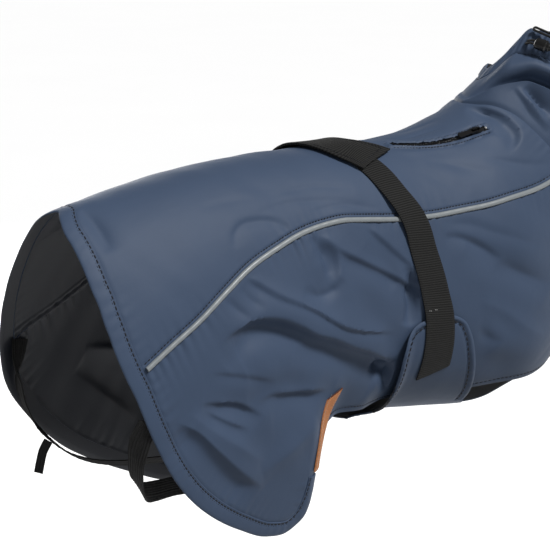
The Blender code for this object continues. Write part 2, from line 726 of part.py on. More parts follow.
def zip_parts():
    loop = zip_loop(ZIP_WIDTH / 2, 0.0)
    flat, faces = filled(loop, 6.0)
    points, faces = sheet(over(flat, 1.2), over(flat, 0.1), faces)
    add("zip_tape", points, faces, BLACK, 0.6)
    frame = zip_frame(0.87)
    points, faces = prism(slider_outline(), ZIP_BASE + 0.3, SLIDER_TOP)
    body = add("zip_slider", in_frame(frame, points), faces, (0.03, 0.03, 0.032), 0.35, 0.6)
    # A bridge along the zip, which the pull's cross bar passes under.
    arch = [(-4.2, 3.6), (-4.2, 7.0), (-3.4, 7.6), (3.4, 7.6), (4.2, 7.0), (4.2, 3.6), (2.8, 3.6),
            (2.8, 6.4), (-2.8, 6.4), (-2.8, 3.6)]
    count = len(arch)
    points = [(x, -0.8, z) for x, z in arch] + [(x, 0.8, z) for x, z in arch]
    faces = [tuple(range(count)), tuple(range(count, 2 * count))[::-1]]
    faces += [((i + 1) % count, i, i + count, (i + 1) % count + count) for i in range(count)]
    bridge = add("bridge_helper", in_frame(frame, points), faces, BLACK, 0.4)
    bridge.hide_render = True
    bridge.display_type = "WIRE"
    joined = body.modifiers.new("Bridge", "BOOLEAN")
    joined.operation = "UNION"
    joined.solver = "EXACT"
    joined.object = bridge
    # The pull lies back along the closed zip from its cross bar.
    ring = [(0.7, -3.0), (0.7, 3.0), (-7.0, 3.0), (-9.5, 2.6), (-PULL_LENGTH + 1, 3.1),
            (-PULL_LENGTH, 2.4), (-PULL_LENGTH, -2.4), (-PULL_LENGTH + 1, -3.1), (-9.5, -2.6), (-7.0, -3.0)]
    hole = [(-0.7, -1.5), (-0.7, 1.5), (-6.0, 1.5), (-6.0, -1.5)]
    flat, faces = filled(ring, 50.0, [hole])
    top = np.column_stack([flat, np.full(len(flat), PIVOT_HEIGHT + 0.6)])
    bottom = np.column_stack([flat, np.full(len(flat), PIVOT_HEIGHT - 0.6)])
    points, faces = sheet(top, bottom, faces)
    add("zip_pull", in_frame(frame, points), faces, (0.03, 0.03, 0.032), 0.45)


# Drawcord and its lock --------------------------------------------------------
CORD_EXIT = (579.0, -19.0)


def cord_frame():
    here = over(np.array([CORD_EXIT]), 0.0)[0]
    around = over(np.array([(CORD_EXIT[0], CORD_EXIT[1] - 3), (CORD_EXIT[0], CORD_EXIT[1] + 3)]), 0.0)
    neck = over(np.array([(CORD_EXIT[0] + 3, CORD_EXIT[1]), (CORD_EXIT[0] - 3, CORD_EXIT[1])]), 0.0)
    run = (around[0] - around[1]) / np.linalg.norm(around[0] - around[1])
    up = (neck[0] - neck[1]) / np.linalg.norm(neck[0] - neck[1])
    out = np.cross(up, run)
    out /= np.linalg.norm(out)
    if out[1] > 0:
        out = -out
    return here, run, up, out


def cord_path():
    """The centre between the two strands: (round the neck, up the neck, outward)."""
    return [
        (-3.0, 0.8, 7.0), (0.0, 0.8, 10.2), (5.0, 0.8, 13.1), (8.0, 0.8, 13.6), (13.0, 0.8, 14.13),
        (20.0, 0.8, 14.87), (25.0, 0.8, 15.4), (28.0, 0.9, 15.7), (31.5, 3.5, 16.2), (32.5, 8.5, 16.4),
        (28.5, 13.0, 15.8), (20.0, 14.8, 14.6), (8.0, 16.0, 12.6), (-2.0, 16.8, 11.2),
    ]


def drawcord():
    here, run, up, out = cord_frame()
    path = smooth_line(cord_path(), 2.8)
    centre = here + path[:, :1] * run + path[:, 1:2] * up + path[:, 2:] * out
    step = np.gradient(centre, axis=0)
    step /= np.linalg.norm(step, axis=1)[:, None]
    spread = np.cross(step, out)
    spread /= np.linalg.norm(spread, axis=1)[:, None]
    half = np.full(len(centre), CORD_SPREAD / 2)
    one, two = centre + spread * half[:, None], centre - spread * half[:, None]
    bend = [
        centre[-1] + spread[-1] * math.cos(a) * CORD_SPREAD / 2 + step[-1] * math.sin(a) * CORD_SPREAD / 2
        for a in np.linspace(0, math.pi, 7)[1:-1]
    ]
    route = np.concatenate([one, np.array(bend), two[::-1]])
    curve = bpy.data.curves.new("drawcord", "CURVE")
    curve.dimensions = "3D"
    curve.bevel_depth = CORD_RADIUS * MM
    curve.bevel_resolution = 2
    curve.use_fill_caps = True
    spline = curve.splines.new("POLY")
    spline.points.add(len(route) - 1)
    for point, place in zip(spline.points, route * MM):
        point.co = (*place, 1)
    made = bpy.data.objects.new("drawcord", curve)
    bpy.context.scene.collection.objects.link(made)
    curve.materials.append(material("drawcord_surface", BLACK, 0.8))
    return centre, spread


def cord_lock():
    here, run, up, out = cord_frame()
    path = np.array(cord_path())
    middle_point = (path[3] + path[6]) / 2
    centre = here + middle_point[0] * run + middle_point[1] * up + middle_point[2] * out
    axis = (path[6] - path[3]) @ np.array([run, up, out])
    axis /= np.linalg.norm(axis)
    across = np.cross(axis, out)
    across /= np.linalg.norm(across)
    through = np.cross(across, axis)
    # distance along the cords, radius
    profile = [(-8.5, 4.6), (-7.6, 5.6), (-2.5, 6.0), (3.5, 6.0), (4.3, 5.2), (4.8, 4.4), (7.4, 4.4), (8.5, 3.4)]
    count = 20
    points = []
    for run_at, radius in profile:
        for k in range(count):
            a = 2 * math.pi * k / count
            points.append(centre + axis * run_at + across * math.cos(a) * radius * 1.08
                          + through * math.sin(a) * radius * 0.86)
    faces = grid_faces(len(profile), count, closed=True)
    faces += [tuple(range(count))[::-1], tuple(range((len(profile) - 1) * count, len(profile) * count))]
    body = add("cord_lock", np.array(points), faces, (0.02, 0.02, 0.021), 0.35)
    wide, tall = CORD_SPREAD / 2 + CORD_RADIUS + 0.6, CORD_RADIUS + 0.6
    corners = [(-wide, -tall), (wide, -tall), (wide, tall), (-wide, tall)]
    points = [centre + axis * d + across * u + through * v for d in (-14, 14) for u, v in corners]
    faces = [(3, 2, 1, 0), (4, 5, 6, 7), (0, 1, 5, 4), (1, 2, 6, 5), (2, 3, 7, 6), (3, 0, 4, 7)]
    cutter = add("lock_slot_helper", np.array(points), faces, BLACK, 0.5)
    cutter.hide_render = True
    cutter.display_type = "WIRE"
    cut = body.modifiers.new("Slot", "BOOLEAN")
    cut.operation = "DIFFERENCE"
    cut.solver = "EXACT"
    cut.object = cutter


def elastic_tail(elastic, out):
    at = int(np.argmin(np.linalg.norm(elastic - TAIL_TOP, axis=1)))
    top = elastic[at] + out[at] * (ELASTIC_THICK / 2 + SEAM_GAP + 1.0)
    rows = [(0, 0, 0), (-2.5, 3.0, -9), (-5.0, 4.0, -19), (-7.5, 4.5, -30)]
    line = smooth_line([top + row + out[at] * 2.4 * min(k, 1) for k, row in enumerate(rows)], 6.0)
    step = np.gradient(line, axis=0)
    step /= np.linalg.norm(step, axis=1)[:, None]
    width = np.cross(step, np.array([0.75, 0.66, 0.0]))
    width /= np.linalg.norm(width, axis=1)[:, None]
    band_in_space("elastic_tail", line, width, np.cross(width, step), 4.0, 1.4, BLACK, 0.9)


for old in list(bpy.data.objects):
    bpy.data.objects.remove(old, do_unlink=True)
cloth_panels()
chest_piece()
hem_band()
collar()
reflective_piping()
belt()
label()
elastic_tail(*leg_elastics())
zip_parts()
drawcord()
cord_lock()
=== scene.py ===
import math

import bpy
import numpy as np
from mathutils import Matrix, Vector


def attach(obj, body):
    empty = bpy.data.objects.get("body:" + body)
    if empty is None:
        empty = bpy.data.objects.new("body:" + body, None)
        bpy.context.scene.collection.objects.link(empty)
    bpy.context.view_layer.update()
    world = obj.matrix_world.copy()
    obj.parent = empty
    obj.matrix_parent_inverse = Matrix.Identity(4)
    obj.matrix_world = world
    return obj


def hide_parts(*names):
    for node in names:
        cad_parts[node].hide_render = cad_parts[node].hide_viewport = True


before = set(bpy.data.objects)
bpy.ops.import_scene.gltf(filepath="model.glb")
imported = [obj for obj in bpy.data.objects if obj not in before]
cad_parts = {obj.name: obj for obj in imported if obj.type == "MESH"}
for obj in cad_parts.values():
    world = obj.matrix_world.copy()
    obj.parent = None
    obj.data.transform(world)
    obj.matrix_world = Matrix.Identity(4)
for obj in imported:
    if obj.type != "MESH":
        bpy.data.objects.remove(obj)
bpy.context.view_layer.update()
mm = 0.001
print("frame loaded,", len(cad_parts), "nodes")

# A general torso carries the coat. A place on the cloth is (along, round) in millimetres:
# along the back from the rear, and round the body from the back line, negative on the right.
torso = {
    # along, x, z, lean, half width, height, widest, top power, low power
    "sections": [
        (-12, -330, -34, 0, 91, 440, 0.42, 1.72, 2.3),
        (0, -318, -30, 0, 93, 440, 0.42, 1.75, 2.3),
        (60, -258, -17, 0, 98, 440, 0.42, 1.95, 2.3),
        (130, -188, -6, 0, 99, 438, 0.42, 2.1, 2.3),
        (200, -118, -1, 0, 98, 430, 0.42, 2.15, 2.3),
        (235, -83, 0, 0, 97, 415, 0.43, 2.2, 2.3),
        (262, -56, 0, 0, 96, 335, 0.48, 2.2, 2.2),
        (288, -30, 0, 0, 95, 292, 0.53, 2.2, 2.1),
        (318, 0, 0, 0, 95, 273, 0.55, 2.2, 2.1),
        (378, 60, -1, 3, 99, 274, 0.55, 2.1, 2.3),
        (418, 99, 3, 8, 104, 289, 0.52, 2.0, 2.6),
        (455, 136, 12, 13, 106, 306, 0.50, 1.95, 2.8),
        (492, 170, 26, 22, 90, 294, 0.50, 2.0, 2.4),
        (532, 205, 50, 41, 60, 180, 0.50, 1.8, 2.0),
        (572, 237, 79, 47, 51, 124, 0.50, 1.8, 2.0),
        (612, 266, 108, 47, 49, 114, 0.50, 1.8, 2.0),
    ],
}

# Outlines of the cut, as places.
cut = {
    "hemRight": [
        (13, 0), (9, 10), (5, 27), (6, 43), (7, 57), (8, 72), (9, 85), (11, 99), (12, 113),
        (14, 126), (16, 140), (19, 154), (23, 169), (28, 184), (33, 201), (39, 220),
        (50, 248), (66, 282), (82, 307), (104, 333), (137, 362), (172, 384), (198, 389),
        (215, 379), (225, 360), (230, 338),
    ],
    "hemLeft": [
        (13, 0), (9, 10), (5, 27), (4, 43), (2, 57), (0, 72), (-2, 85), (-4, 99), (-5, 113),
        (-6, 126), (-6, 140), (-6, 154), (-5, 169), (-3, 184), (0, 201), (6, 220), (20, 248),
        (42, 282), (62, 307), (90, 333), (130, 362), (170, 384), (198, 389), (215, 379),
        (225, 360), (230, 338),
    ],
    "lowerEdge": [
        (230, 338), (235, 315), (239, 303), (246, 295), (259, 293), (280, 296), (310, 300),
        (345, 303), (380, 306), (407, 309), (427, 313), (447, 322), (462, 330), (474, 333),
        (485, 329), (494, 320),
    ],
    "piping": [
        (29.5, 168), (65, 159), (97, 148), (126, 134), (155, 120), (186, 110), (217, 102),
        (242, 99), (268, 99), (285, 101), (329, 107), (365, 108.5), (406, 111.5), (442, 117.5),
        (465, 121), (499, 128), (518.5, 133),
    ],
    # along, distance from the lowest line
    "chestSide": [(516, 46), (505, 54), (494, 60)],
    "legSide": [(494, 60), (487, 48), (476, 35), (458, 29), (438, 29), (423, 36), (414, 52)],
    "wing": [
        (409, 330), (406, 300), (400, 258), (395, 233), (388, 216), (378, 208), (366, 205),
        (353, 206), (341, 209), (332, 216), (325, 232), (324, 255), (326, 280), (328, 298),
        (328, 318), (324, 335), (317, 348),
    ],
    "bandWidth": 15.0,
    "cloth": 1.6,  # height of the cloth's face over the torso
    "wall": 1.2,  # its thickness
    "overlap": 0.6,  # how far pieces run under each other at a seam
}

# Broad folds along an arc through three places, with half width and height.
broadFolds = [
    (118, -198, 160, -180, 204, -200, 12, -3.5),
    (196, -202, 256, -232, 314, -262, 15, -3.0),
    (158, -146, 232, -184, 312, -222, 15, 4.0),
    (226, -116, 246, -134, 224, -157, 10, -4.0),
    (288, -122, 306, -146, 322, -168, 12, -4.0),
    (140, -234, 190, -238, 246, -258, 14, -5.0),
    (90, -224, 130, -236, 158, -256, 13, -3.5),
    (72, -236, 112, -278, 160, -326, 20, 4.0),
    (396, -148, 430, -180, 470, -232, 15, -4.5),
    (398, -240, 430, -262, 466, -300, 16, 4.0),
    (28, -10, 34, -36, 38, -64, 11, -1.6),
    (122, 176, 168, 160, 214, 186, 13, -6.5),
    (206, 186, 262, 214, 314, 240, 14, -6.0),
    (160, 138, 236, 176, 312, 210, 17, 4.5),
    (136, 240, 186, 246, 240, 262, 15, -4.5),
    (84, 232, 120, 268, 166, 322, 20, 4.0),
    (400, 150, 436, 186, 474, 236, 16, -4.5),
    (404, 246, 436, 272, 470, 306, 16, 3.5),
    (26, 12, 33, 38, 38, 66, 12, -3.5),
]

# Creases along lines of places: half width on the left and on the right of the line, height.
creases = [
    # near flank
    ([(225, -106), (235, -118), (238, -131), (240, -145)], 5, 5, -2.0),
    ([(236, -106), (250, -122), (253, -136), (251, -147), (242, -157)], 5, 5, 2.4),
    ([(207, -152), (218, -158), (227, -161), (238, -160), (247, -156), (253, -150)], 5, 6, -2.2),
    ([(124, -136), (135, -152), (146, -163)], 3, 3, -1.3),
    ([(141, -133), (150, -147), (163, -158)], 3, 4, -1.1),
    ([(78, -223), (102, -248), (130, -274), (155, -298)], 6, 6, 1.8),
    ([(157, -310), (183, -300), (204, -290), (223, -278)], 12, 12, 2.2),
    ([(376, -132), (388, -133), (399, -139), (414, -152), (429, -172)], 3, 8, -2.6),
    ([(429, -174), (450, -198), (473, -224)], 5, 9, -2),
    ([(377, -204), (394, -223), (408, -242), (420, -256)], 4, 9, -2.6),
    ([(404, -202), (426, -225), (447, -257), (467, -284)], 8, 8, 1.6),
    ([(382, -117), (406, -126), (433, -146), (470, -178)], 5, 8, -1.2),
    # back
    ([(145, -100), (147, -89), (156, -82), (173, -81), (193, -86), (203, -94), (208, -103)], 3, 7, -2),
    ([(125, -56), (154, -57), (180, -60)], 3, 6, -0.8),
    ([(484, -13), (492, -24), (499, -36), (504, -50)], 5, 7, -3.5),
    ([(170, -75), (215, -72), (262, -78), (300, -88)], 3, 5, -0.9),
    ([(196, -62), (240, -60), (290, -70)], 3, 4, -0.8),
    ([(232, -84), (270, -84), (312, -94)], 2.5, 3, -0.9),
    ([(392, -52), (420, -66), (452, -90)], 4, 8, -1.3),
    ([(452, -72), (473, -85), (490, -97), (510, -113)], 2.5, 6, -1.4),
    ([(378, -5), (399, -12), (424, -14), (448, -17)], 3, 5, -1.6),
    ([(401, 4), (430, 4), (456, -2)], 3, 6, -1.2),
    ([(358, -28), (382, -38), (412, -42), (436, -46)], 4, 5, 1.2),
    ([(370, -57), (393, -78), (419, -97)], 8, 10, -1),
    ([(29, -11), (32, -26), (34, -45), (34, -61)], 4, 8, -2.4),
    ([(174, -46), (204, -55), (240, -66), (284, -80)], 12, 14, -0.9),
    ([(168, 44), (206, 52), (250, 68), (284, 78)], 13, 12, -0.9),
    ([(470, 20), (486, 40), (492, 66), (480, 88)], 9, 5, -2.0),
    # collar, by the nape
    ([(537, -40), (536, -54), (535, -65), (535, -78)], 6, 3, -7.5),
    ([(531, -34), (529, -45), (528, -57), (526, -72), (527, -86)], 3, 4, 3.2),
    ([(528, -32), (525, -47), (522, -60), (522, -75), (522, -90)], 2, 3, -2.0),
    # far flank
    ([(118, 178), (136, 168), (160, 163), (186, 168), (212, 186), (240, 202), (268, 216), (314, 240)],
     12, 5, -4.6),
    ([(150, 134), (184, 160), (222, 184), (262, 204), (310, 226)], 6, 7, 2.2),
    ([(154, 124), (190, 150), (226, 176), (270, 200), (318, 214)], 5, 3, -2.2),
    ([(222, 110), (240, 121), (244, 138), (228, 155)], 7, 4, -2.4),
    ([(282, 106), (300, 126), (318, 148), (336, 174)], 9, 5, -2.2),
    ([(148, 234), (176, 233), (206, 240), (250, 260)], 9, 4, -3.0),
    ([(92, 220), (118, 230), (142, 244), (166, 262)], 8, 3, -2.3),
    ([(78, 240), (98, 264), (122, 290), (144, 314)], 12, 6, -2.6),
    ([(388, 138), (408, 152), (430, 176), (466, 232)], 9, 5, -2.4),
    ([(382, 208), (398, 226), (412, 244), (424, 262)], 9, 4, -2.2),
    ([(408, 206), (428, 228), (448, 256), (466, 280)], 8, 8, 1.4),
]

# Folds with a crisp crest on the line and a drop on its lower side: crest height, depth, width of
# the drop and of the way back up, and the share of the line over which each end fades.
drops = [
    ([(113, -176), (123, -170), (135, -167), (149, -165), (165, -167), (182, -173), (200, -183),
      (219, -195), (240, -204), (261, -216), (283, -225), (304, -237), (320, -248)],
     2.8, 9.5, 5.5, 26, 0.15, 0.03),
    ([(143, -121), (162, -137), (180, -151), (200, -162), (220, -174), (237, -186), (254, -196),
      (274, -203), (295, -208), (319, -214)], 1.5, 2.4, 2.2, 8, 0.12, 0.2),
    ([(243, -110), (257, -125), (281, -139), (309, -154), (328, -166), (342, -174)],
     1.4, 5.0, 4.0, 14, 0.3, 0.03),
    ([(290, -107), (308, -124), (324, -140), (337, -152)], 0.8, 2.8, 3, 8, 0.2, 0.03),
    ([(146, -243), (156, -240), (168, -238), (184, -241), (203, -245), (222, -249), (243, -254)],
     2.0, 8.0, 5.5, 20, 0.45, 0.3),
    ([(99, -194), (118, -202), (145, -214), (176, -228)], 0.5, 2.2, 2.5, 7, 0.3, 0.3),
    ([(87, -216), (106, -224), (132, -235), (151, -249), (163, -258)], 1.4, 6.0, 4.5, 13, 0.35, 0.35),
    ([(93, -225), (117, -245), (146, -265)], 1.1, 4.8, 4.5, 12, 0.3, 0.35),
    ([(491, -12), (496, -21), (500, -31), (504, -43), (505, -55), (505, -66),
      (501, -74), (490, -80), (476, -82)], 1.4, 7.5, 5.0, 14, 0.25, 0.35),
    ([(63, -222), (84, -240), (106, -268), (131, -298), (162, -328)], 1.6, 10.0, 9, 20, 0.2, 0.25),
]

# Hollows, where the cloth stands away behind the strap and the wing: half width and depth.
hollows = [
    ([(336, -153), (337, -168), (337, -182), (335, -196), (330, -210)], 7, -10.0),
    ([(300, -243), (312, -254), (321, -266), (326, -280)], 9, -11.0),
]


def hermite(rows, at, column=1):
    # a smooth curve through rows that start with where they stand
    table = np.asarray(rows, float)
    xs, ys = table[:, 0], table[:, column]
    slope = np.gradient(ys, xs)
    at = np.clip(np.asarray(at, float), xs[0], xs[-1])
    i = np.clip(np.searchsorted(xs, at) - 1, 0, len(xs) - 2)
    h = xs[i + 1] - xs[i]
    u = (at - xs[i]) / h
    return (
        (2 * u**3 - 3 * u**2 + 1) * ys[i]
        + (u**3 - 2 * u**2 + u) * h * slope[i]
        + (3 * u**2 - 2 * u**3) * ys[i + 1]
        + (u**3 - u**2) * h * slope[i + 1]
    )


def ramp(value, start, end):
    # 0 up to start, 1 from end, smooth between
    u = np.clip((np.asarray(value, float) - start) / (end - start), 0, 1)
    return u * u * (3 - 2 * u)


def runOf(line):
    return np.concatenate([[0], np.cumsum(np.linalg.norm(np.diff(line, axis=0), axis=1))])


def resample(line, run):
    line = np.asarray(line, float)
    known = runOf(line)
    return np.column_stack([np.interp(run, known, line[:, c]) for c in range(line.shape[1])])


def sampled(line, shares):
    return resample(line, np.asarray(shares) * runOf(line)[-1])


def smoothLine(rows, spacing=3.0):
    points = np.asarray(rows, float)
    knots = runOf(points)
    table = np.column_stack([knots, points])
    fine = np.linspace(0, knots[-1], 16 * len(points))
    line = np.column_stack([hermite(table, fine, c) for c in range(1, points.shape[1] + 1)])
    count = max(2, int(round(runOf(line)[-1] / spacing)) + 1)
    return sampled(line, np.linspace(0, 1, count))


def unit(vectors):
    return vectors / np.linalg.norm(vectors, axis=-1, keepdims=True)


def stepsOf(line):
    return unit(np.gradient(line, axis=0))


def leftOf(steps):
    return np.column_stack([-steps[:, 1], steps[:, 0]])


def shifted(line, distance):
    # to the left of the way the line runs
    return line + distance * leftOf(stepsOf(line))


def bell(distance, width, power=2.0):
    # 1 on the line, falling away beside it
    return np.exp(-((distance / width) ** power))


# The torso is worked out once on an even lattice, then read between its points.
latticeAlong = np.arange(-14.0, 615.0, 1.0)
latticeShare = np.linspace(0, 1, 361)


def torsoLattice():
    points = np.empty((len(latticeAlong), len(latticeShare), 3))
    halves = np.empty(len(latticeAlong))
    values = np.column_stack([hermite(torso["sections"], latticeAlong, c) for c in range(1, 9)])
    q = np.linspace(0, math.pi, 181)
    s, c = np.abs(np.sin(q)), np.abs(np.cos(q))
    upper = q <= math.pi / 2
    for i, (x, z, lean, half, height, widest, top, low) in enumerate(values):
        power = np.where(upper, 2 / top, 2 / low)
        out = half * s**power
        out[-1] = 0.0
        drop = np.where(
            upper,
            -widest * height * (1 - c**power),
            -widest * height - (1 - widest) * height * c**power,
        )
        run = np.concatenate([[0], np.cumsum(np.hypot(np.diff(out), np.diff(drop)))])
        halves[i] = run[-1]
        at = latticeShare * run[-1]
        y, h = np.interp(at, run, out), np.interp(at, run, drop)
        lean = math.radians(lean)
        points[i] = np.column_stack([x - math.sin(lean) * h, y, z + math.cos(lean) * h])
    return points, halves


torsoPoints, halfRounds = torsoLattice()


def halfRound(along):
    # from the back line down to the lowest line
    return np.interp(along, latticeAlong, halfRounds)


def bare(along, around):
    # points on the torso itself, without folds
    share = around / halfRound(along)
    share = np.where(np.abs(share) > 1, -np.sign(share) * (2 - np.abs(share)), share)
    i = np.clip(along - latticeAlong[0], 0, len(latticeAlong) - 1.001)
    j = np.clip(np.abs(share), 0, 1) * (len(latticeShare) - 1.001)
    i0, j0 = i.astype(int), j.astype(int)
    u, v = (i - i0)[:, None], (j - j0)[:, None]
    grid = torsoPoints
    points = (grid[i0, j0] * (1 - u) + grid[i0 + 1, j0] * u) * (1 - v)
    points += (grid[i0, j0 + 1] * (1 - u) + grid[i0 + 1, j0 + 1] * u) * v
    points[:, 1] *= np.where(share < 0, -1, 1)
    return points


def nearestOn(line, places):
    # distance to the line, share of the way along it, and side (+1 on its left)
    a, b = line[:-1], line[1:]
    ab = b - a
    ap = places[:, None] - a[None]
    s = np.clip((ap * ab[None]).sum(2) / (ab**2).sum(1)[None], 0, 1)
    off = ap - s[..., None] * ab[None]
    distance = np.linalg.norm(off, axis=2)
    k = distance.argmin(axis=1)
    rows = np.arange(len(places))
    cross = ab[k, 0] * ap[rows, k, 1] - ab[k, 1] * ap[rows, k, 0]
    return distance[rows, k], (k + s[rows, k]) / len(a), np.sign(cross)


def arcOf(row):
    # a smooth arc through three places
    u = np.linspace(0, 1, 15)
    weights = np.column_stack([(1 - u) * (1 - 2 * u), 4 * u * (1 - u), u * (2 * u - 1)])
    return weights @ np.reshape(row, (3, 2))


def closeTo(places, line, reach):
    return np.all((places > line.min(axis=0) - reach) & (places < line.max(axis=0) + reach), axis=1)


def folded(places, line, left, right, rise, power):
    # height of one soft fold along a line, which fades to nothing at its ends
    near = closeTo(places, line, 3.2 * max(left, right))
    height = np.zeros(len(places))
    if near.any():
        distance, share, side = nearestOn(line, places[near])
        fade = np.sin(math.pi * share) ** 0.7
        height[near] = rise * fade * bell(distance, np.where(side > 0, left, right), power)
    return height


def dropped(places, line, crest, depth, fall, back, first, last):
    # the crest and the drop of one crisp fold, each in its own height
    near = closeTo(places, line, 3 * back)
    ridge, low = np.zeros((2, len(places)))
    if near.any():
        distance, share, side = nearestOn(line, places[near])
        lower = side * np.sign(line[0, 1]) > 0
        fade = ramp(share, 0, first) * ramp(1 - share, 0, last)
        ridge[near] = crest * fade * bell(distance, np.where(lower, fall / 2, 2.4 * fall), 1.5)
        low[near] = -depth * fade * lower * (1 - bell(distance, fall, 1.15)) * bell(distance, back, 1.6)
    return ridge, low


belt = {
    "right": [
        (364, -266), (363.5, -230), (360, -188), (350, -138), (343.5, -107), (336, -86),
        (327, -61), (316.5, -37), (305.5, -14), (298, 6), (295, 14),
    ],
    "left": [
        (366.5, 268), (365, 232), (359, 190), (342, 140), (326, 107), (317, 88), (303, 60),
        (298, 48),
    ],
    "width": 28.5,
    "thick": 1.4,
    "lean": 0.36,  # how far its upper end is cut askew
    "hem": 0.0,
    "made": "belt_webbing",
    "crossStitch": (-9.5, -3.5),
}
tab = {
    "line": [(334, -43.5), (322, -31), (309, -16), (301, 6), (299, 34), (304, 62), (313, 82)],
    "width": 50.0,
    "thick": 2.0,
    "lean": 0.38,
    "hem": 5.0,
    "made": "belt_webbing",
}


broadLines = [(arcOf(row[:6]), row[6], row[6], row[7]) for row in broadFolds]
creaseLines = [(smoothLine(line, 6.0), *size) for line, *size in creases]
dropLines = [(smoothLine(line, 5.0), *size) for line, *size in drops]
hollowLines = [(smoothLine(line, 4.0), width, width, rise) for line, width, rise in hollows]
strapLine = np.array([(abs(g), t) for t, g in belt["right"][:9]][::-1])  # distance round, along
wingRear = [  # distance round, along
    (190, 372), (205, 353), (209, 341), (216, 332), (232, 325), (255, 324), (280, 326), (298, 328),
    (335, 324), (360, 318),
]
smoothBeside = {  # the distances from a seam or strap where folds begin and where they are whole
    "seam": (5, 22), "seamCreases": (3, 12),
    "strap": (20, 40), "strapCreases": (13, 24), "strapDrops": (14.3, 19),
}
flapRoll = 13.0  # how far the flap's front edge turns in


def foldHeight(places):
    along, far = places[:, 0], np.abs(places[:, 1])
    broad = sum(folded(places, *row, 2.0) for row in broadLines)
    fine = sum(folded(places, *row, 1.5) for row in creaseLines)
    deep = sum(folded(places, *row, 2.0) for row in hollowLines)
    fine *= 1 + 0.5 * ramp(far, 95, 125) * ramp(470 - along, 0, 30)
    for row in dropLines:
        ridge, low = dropped(places, *row)
        fine += ridge
        deep += low
    broad -= flapRoll * ramp(along, 214, 246) * ramp(far, 225, 290) * (1 - ramp(along, 262, 300))
    byPiping = np.abs(far - hermite(cut["piping"], along)) * 0.93  # the seam runs askew
    byStrap = np.abs(along - hermite(strapLine, far))
    bySeam = 0.15 + 0.85 * ramp(byPiping, *smoothBeside["seamCreases"])
    broad *= ramp(byPiping, *smoothBeside["seam"]) * (0.12 + 0.88 * ramp(byStrap, *smoothBeside["strap"]))
    fine *= bySeam * (0.08 + 0.92 * ramp(byStrap, *smoothBeside["strapCreases"]))
    deep *= bySeam * ramp(byStrap, *smoothBeside["strapDrops"])
    # the cloth lies smooth under the wings of the chest piece
    wing = ramp(far, 190, 215) * ramp(along, 296, 318) * (1 - ramp(along, 400, 420))
    behind = along - hermite(wingRear, far)
    reach = ramp(far, 190, 205) * (1 - ramp(along, 400, 412))
    return (
        broad * (1 - 0.92 * wing)
        + fine * (1 - 0.95 * reach * ramp(behind, -3, 3))
        + deep * (1 - reach * ramp(behind, -5, -1))
    )


def laid(places, lift=0.0):
    # points on the folded cloth, lifted off it
    places = np.asarray(places, float)
    along, around = places.T
    step = 1.5
    forward = bare(along + step, around) - bare(along - step, around)
    sideways = bare(along, around + step) - bare(along, around - step)
    normal = unit(np.cross(forward, sideways))
    return bare(along, around) + normal * (foldHeight(places) + lift)[:, None]


def laidGrid(places, lift=0.0):
    return laid(places.reshape(-1, 2), lift).reshape(*places.shape[:2], 3)


def underRound(places):
    # places given as (along, distance from the lowest line, right positive)
    girth = halfRound(places[:, 0])
    around = np.where(places[:, 1] >= 0, places[:, 1] - girth, places[:, 1] + girth)
    return np.column_stack([places[:, 0], around])


# Lines that pieces share.
sides = ((-1, "right"), (1, "left"))
rightHem = np.multiply(cut["hemRight"], (1.0, -1.0))[::-1]
hemOuter = smoothLine(np.concatenate([rightHem, cut["hemLeft"][1:]]))
hemInner = shifted(hemOuter, -cut["bandWidth"])
hemSeam = shifted(hemOuter, cut["overlap"] - cut["bandWidth"])
lowerEdge = {side: smoothLine(np.multiply(cut["lowerEdge"], (1.0, side))) for side, word in sides}
pipingStart = {
    side: int(np.argmin(np.abs(hemInner[:, 1] - side * cut["piping"][0][1]))) for side, word in sides
}

collarCut = {
    "seam": [
        (0, 491.5), (0.03, 494.5), (0.08, 503.5), (0.154, 511.5), (0.25, 515.5), (0.36, 518),
        (0.5, 519), (0.75, 518.5), (1.0, 516),
    ],
    "height": [
        (-1, 78), (-0.8, 81), (-0.6, 84), (-0.35, 88), (-0.2, 90), (-0.1, 91), (-0.045, 95),
        (0, 64), (0.045, 47), (0.12, 44), (0.25, 49), (0.4, 57), (0.6, 67), (0.8, 74), (1, 78),
    ],
    "tunnelSeam": 0.67,
    # how far up the ridge over the seam and the valley above it lie, by distance from the nape
    "ridge": [
        (0, 0.06), (0.06, 0.15), (0.11, 0.24), (0.17, 0.32), (0.25, 0.36), (0.35, 0.38), (0.6, 0.36),
        (1, 0.34),
    ],
    "valley": [(0, 0.16), (0.06, 0.25), (0.11, 0.33), (0.17, 0.41), (0.25, 0.45), (0.35, 0.47), (1, 0.44)],
    "ridgeHeight": 10.0,
    "valleyDepth": 7.0,
    "bulgeHeight": 12.0,
    "tunnelHeight": 3.0,
    "gather": (0.75, 0.3),  # in the tunnel, below it
    "sway": 0.9,
    "uneven": 0.6,
    "grooves": ((0.9, 1.8), (1.0, 0.014)),  # at the seam, and at the tunnel's stitches by share
    "thick": 1.3,
}


def collarForm(f, s):
    # height of the ridge, valley and bulge at a share of the way round and up
    ridge, valley = (hermite(collarCut[key], np.abs(f)) for key in ("ridge", "valley"))
    top = collarCut["tunnelSeam"]
    calm = ramp(-f, -0.01, 0.07) + ramp(f, 0.3, 0.6)
    whole = 0.3 + 0.7 * calm
    climb = np.clip(s / ridge, 0, 1)
    fall = np.clip((s - ridge) / (valley - ridge), 0, 1)
    swell = np.sin(math.pi * np.clip((s - valley) / (top - valley), 0, 1) ** 0.7)
    return (
        collarCut["ridgeHeight"] * whole * climb**0.85 * (1 - fall**0.7)
        - collarCut["valleyDepth"] * calm * np.sin(math.pi * fall) ** 2
        + collarCut["bulgeHeight"] * whole * swell
        + 2.2 * ramp(s, valley, top)
        + collarCut["tunnelHeight"] * np.sin(math.pi * np.clip((s - top) / (1.08 - top), 0, 1))
    )


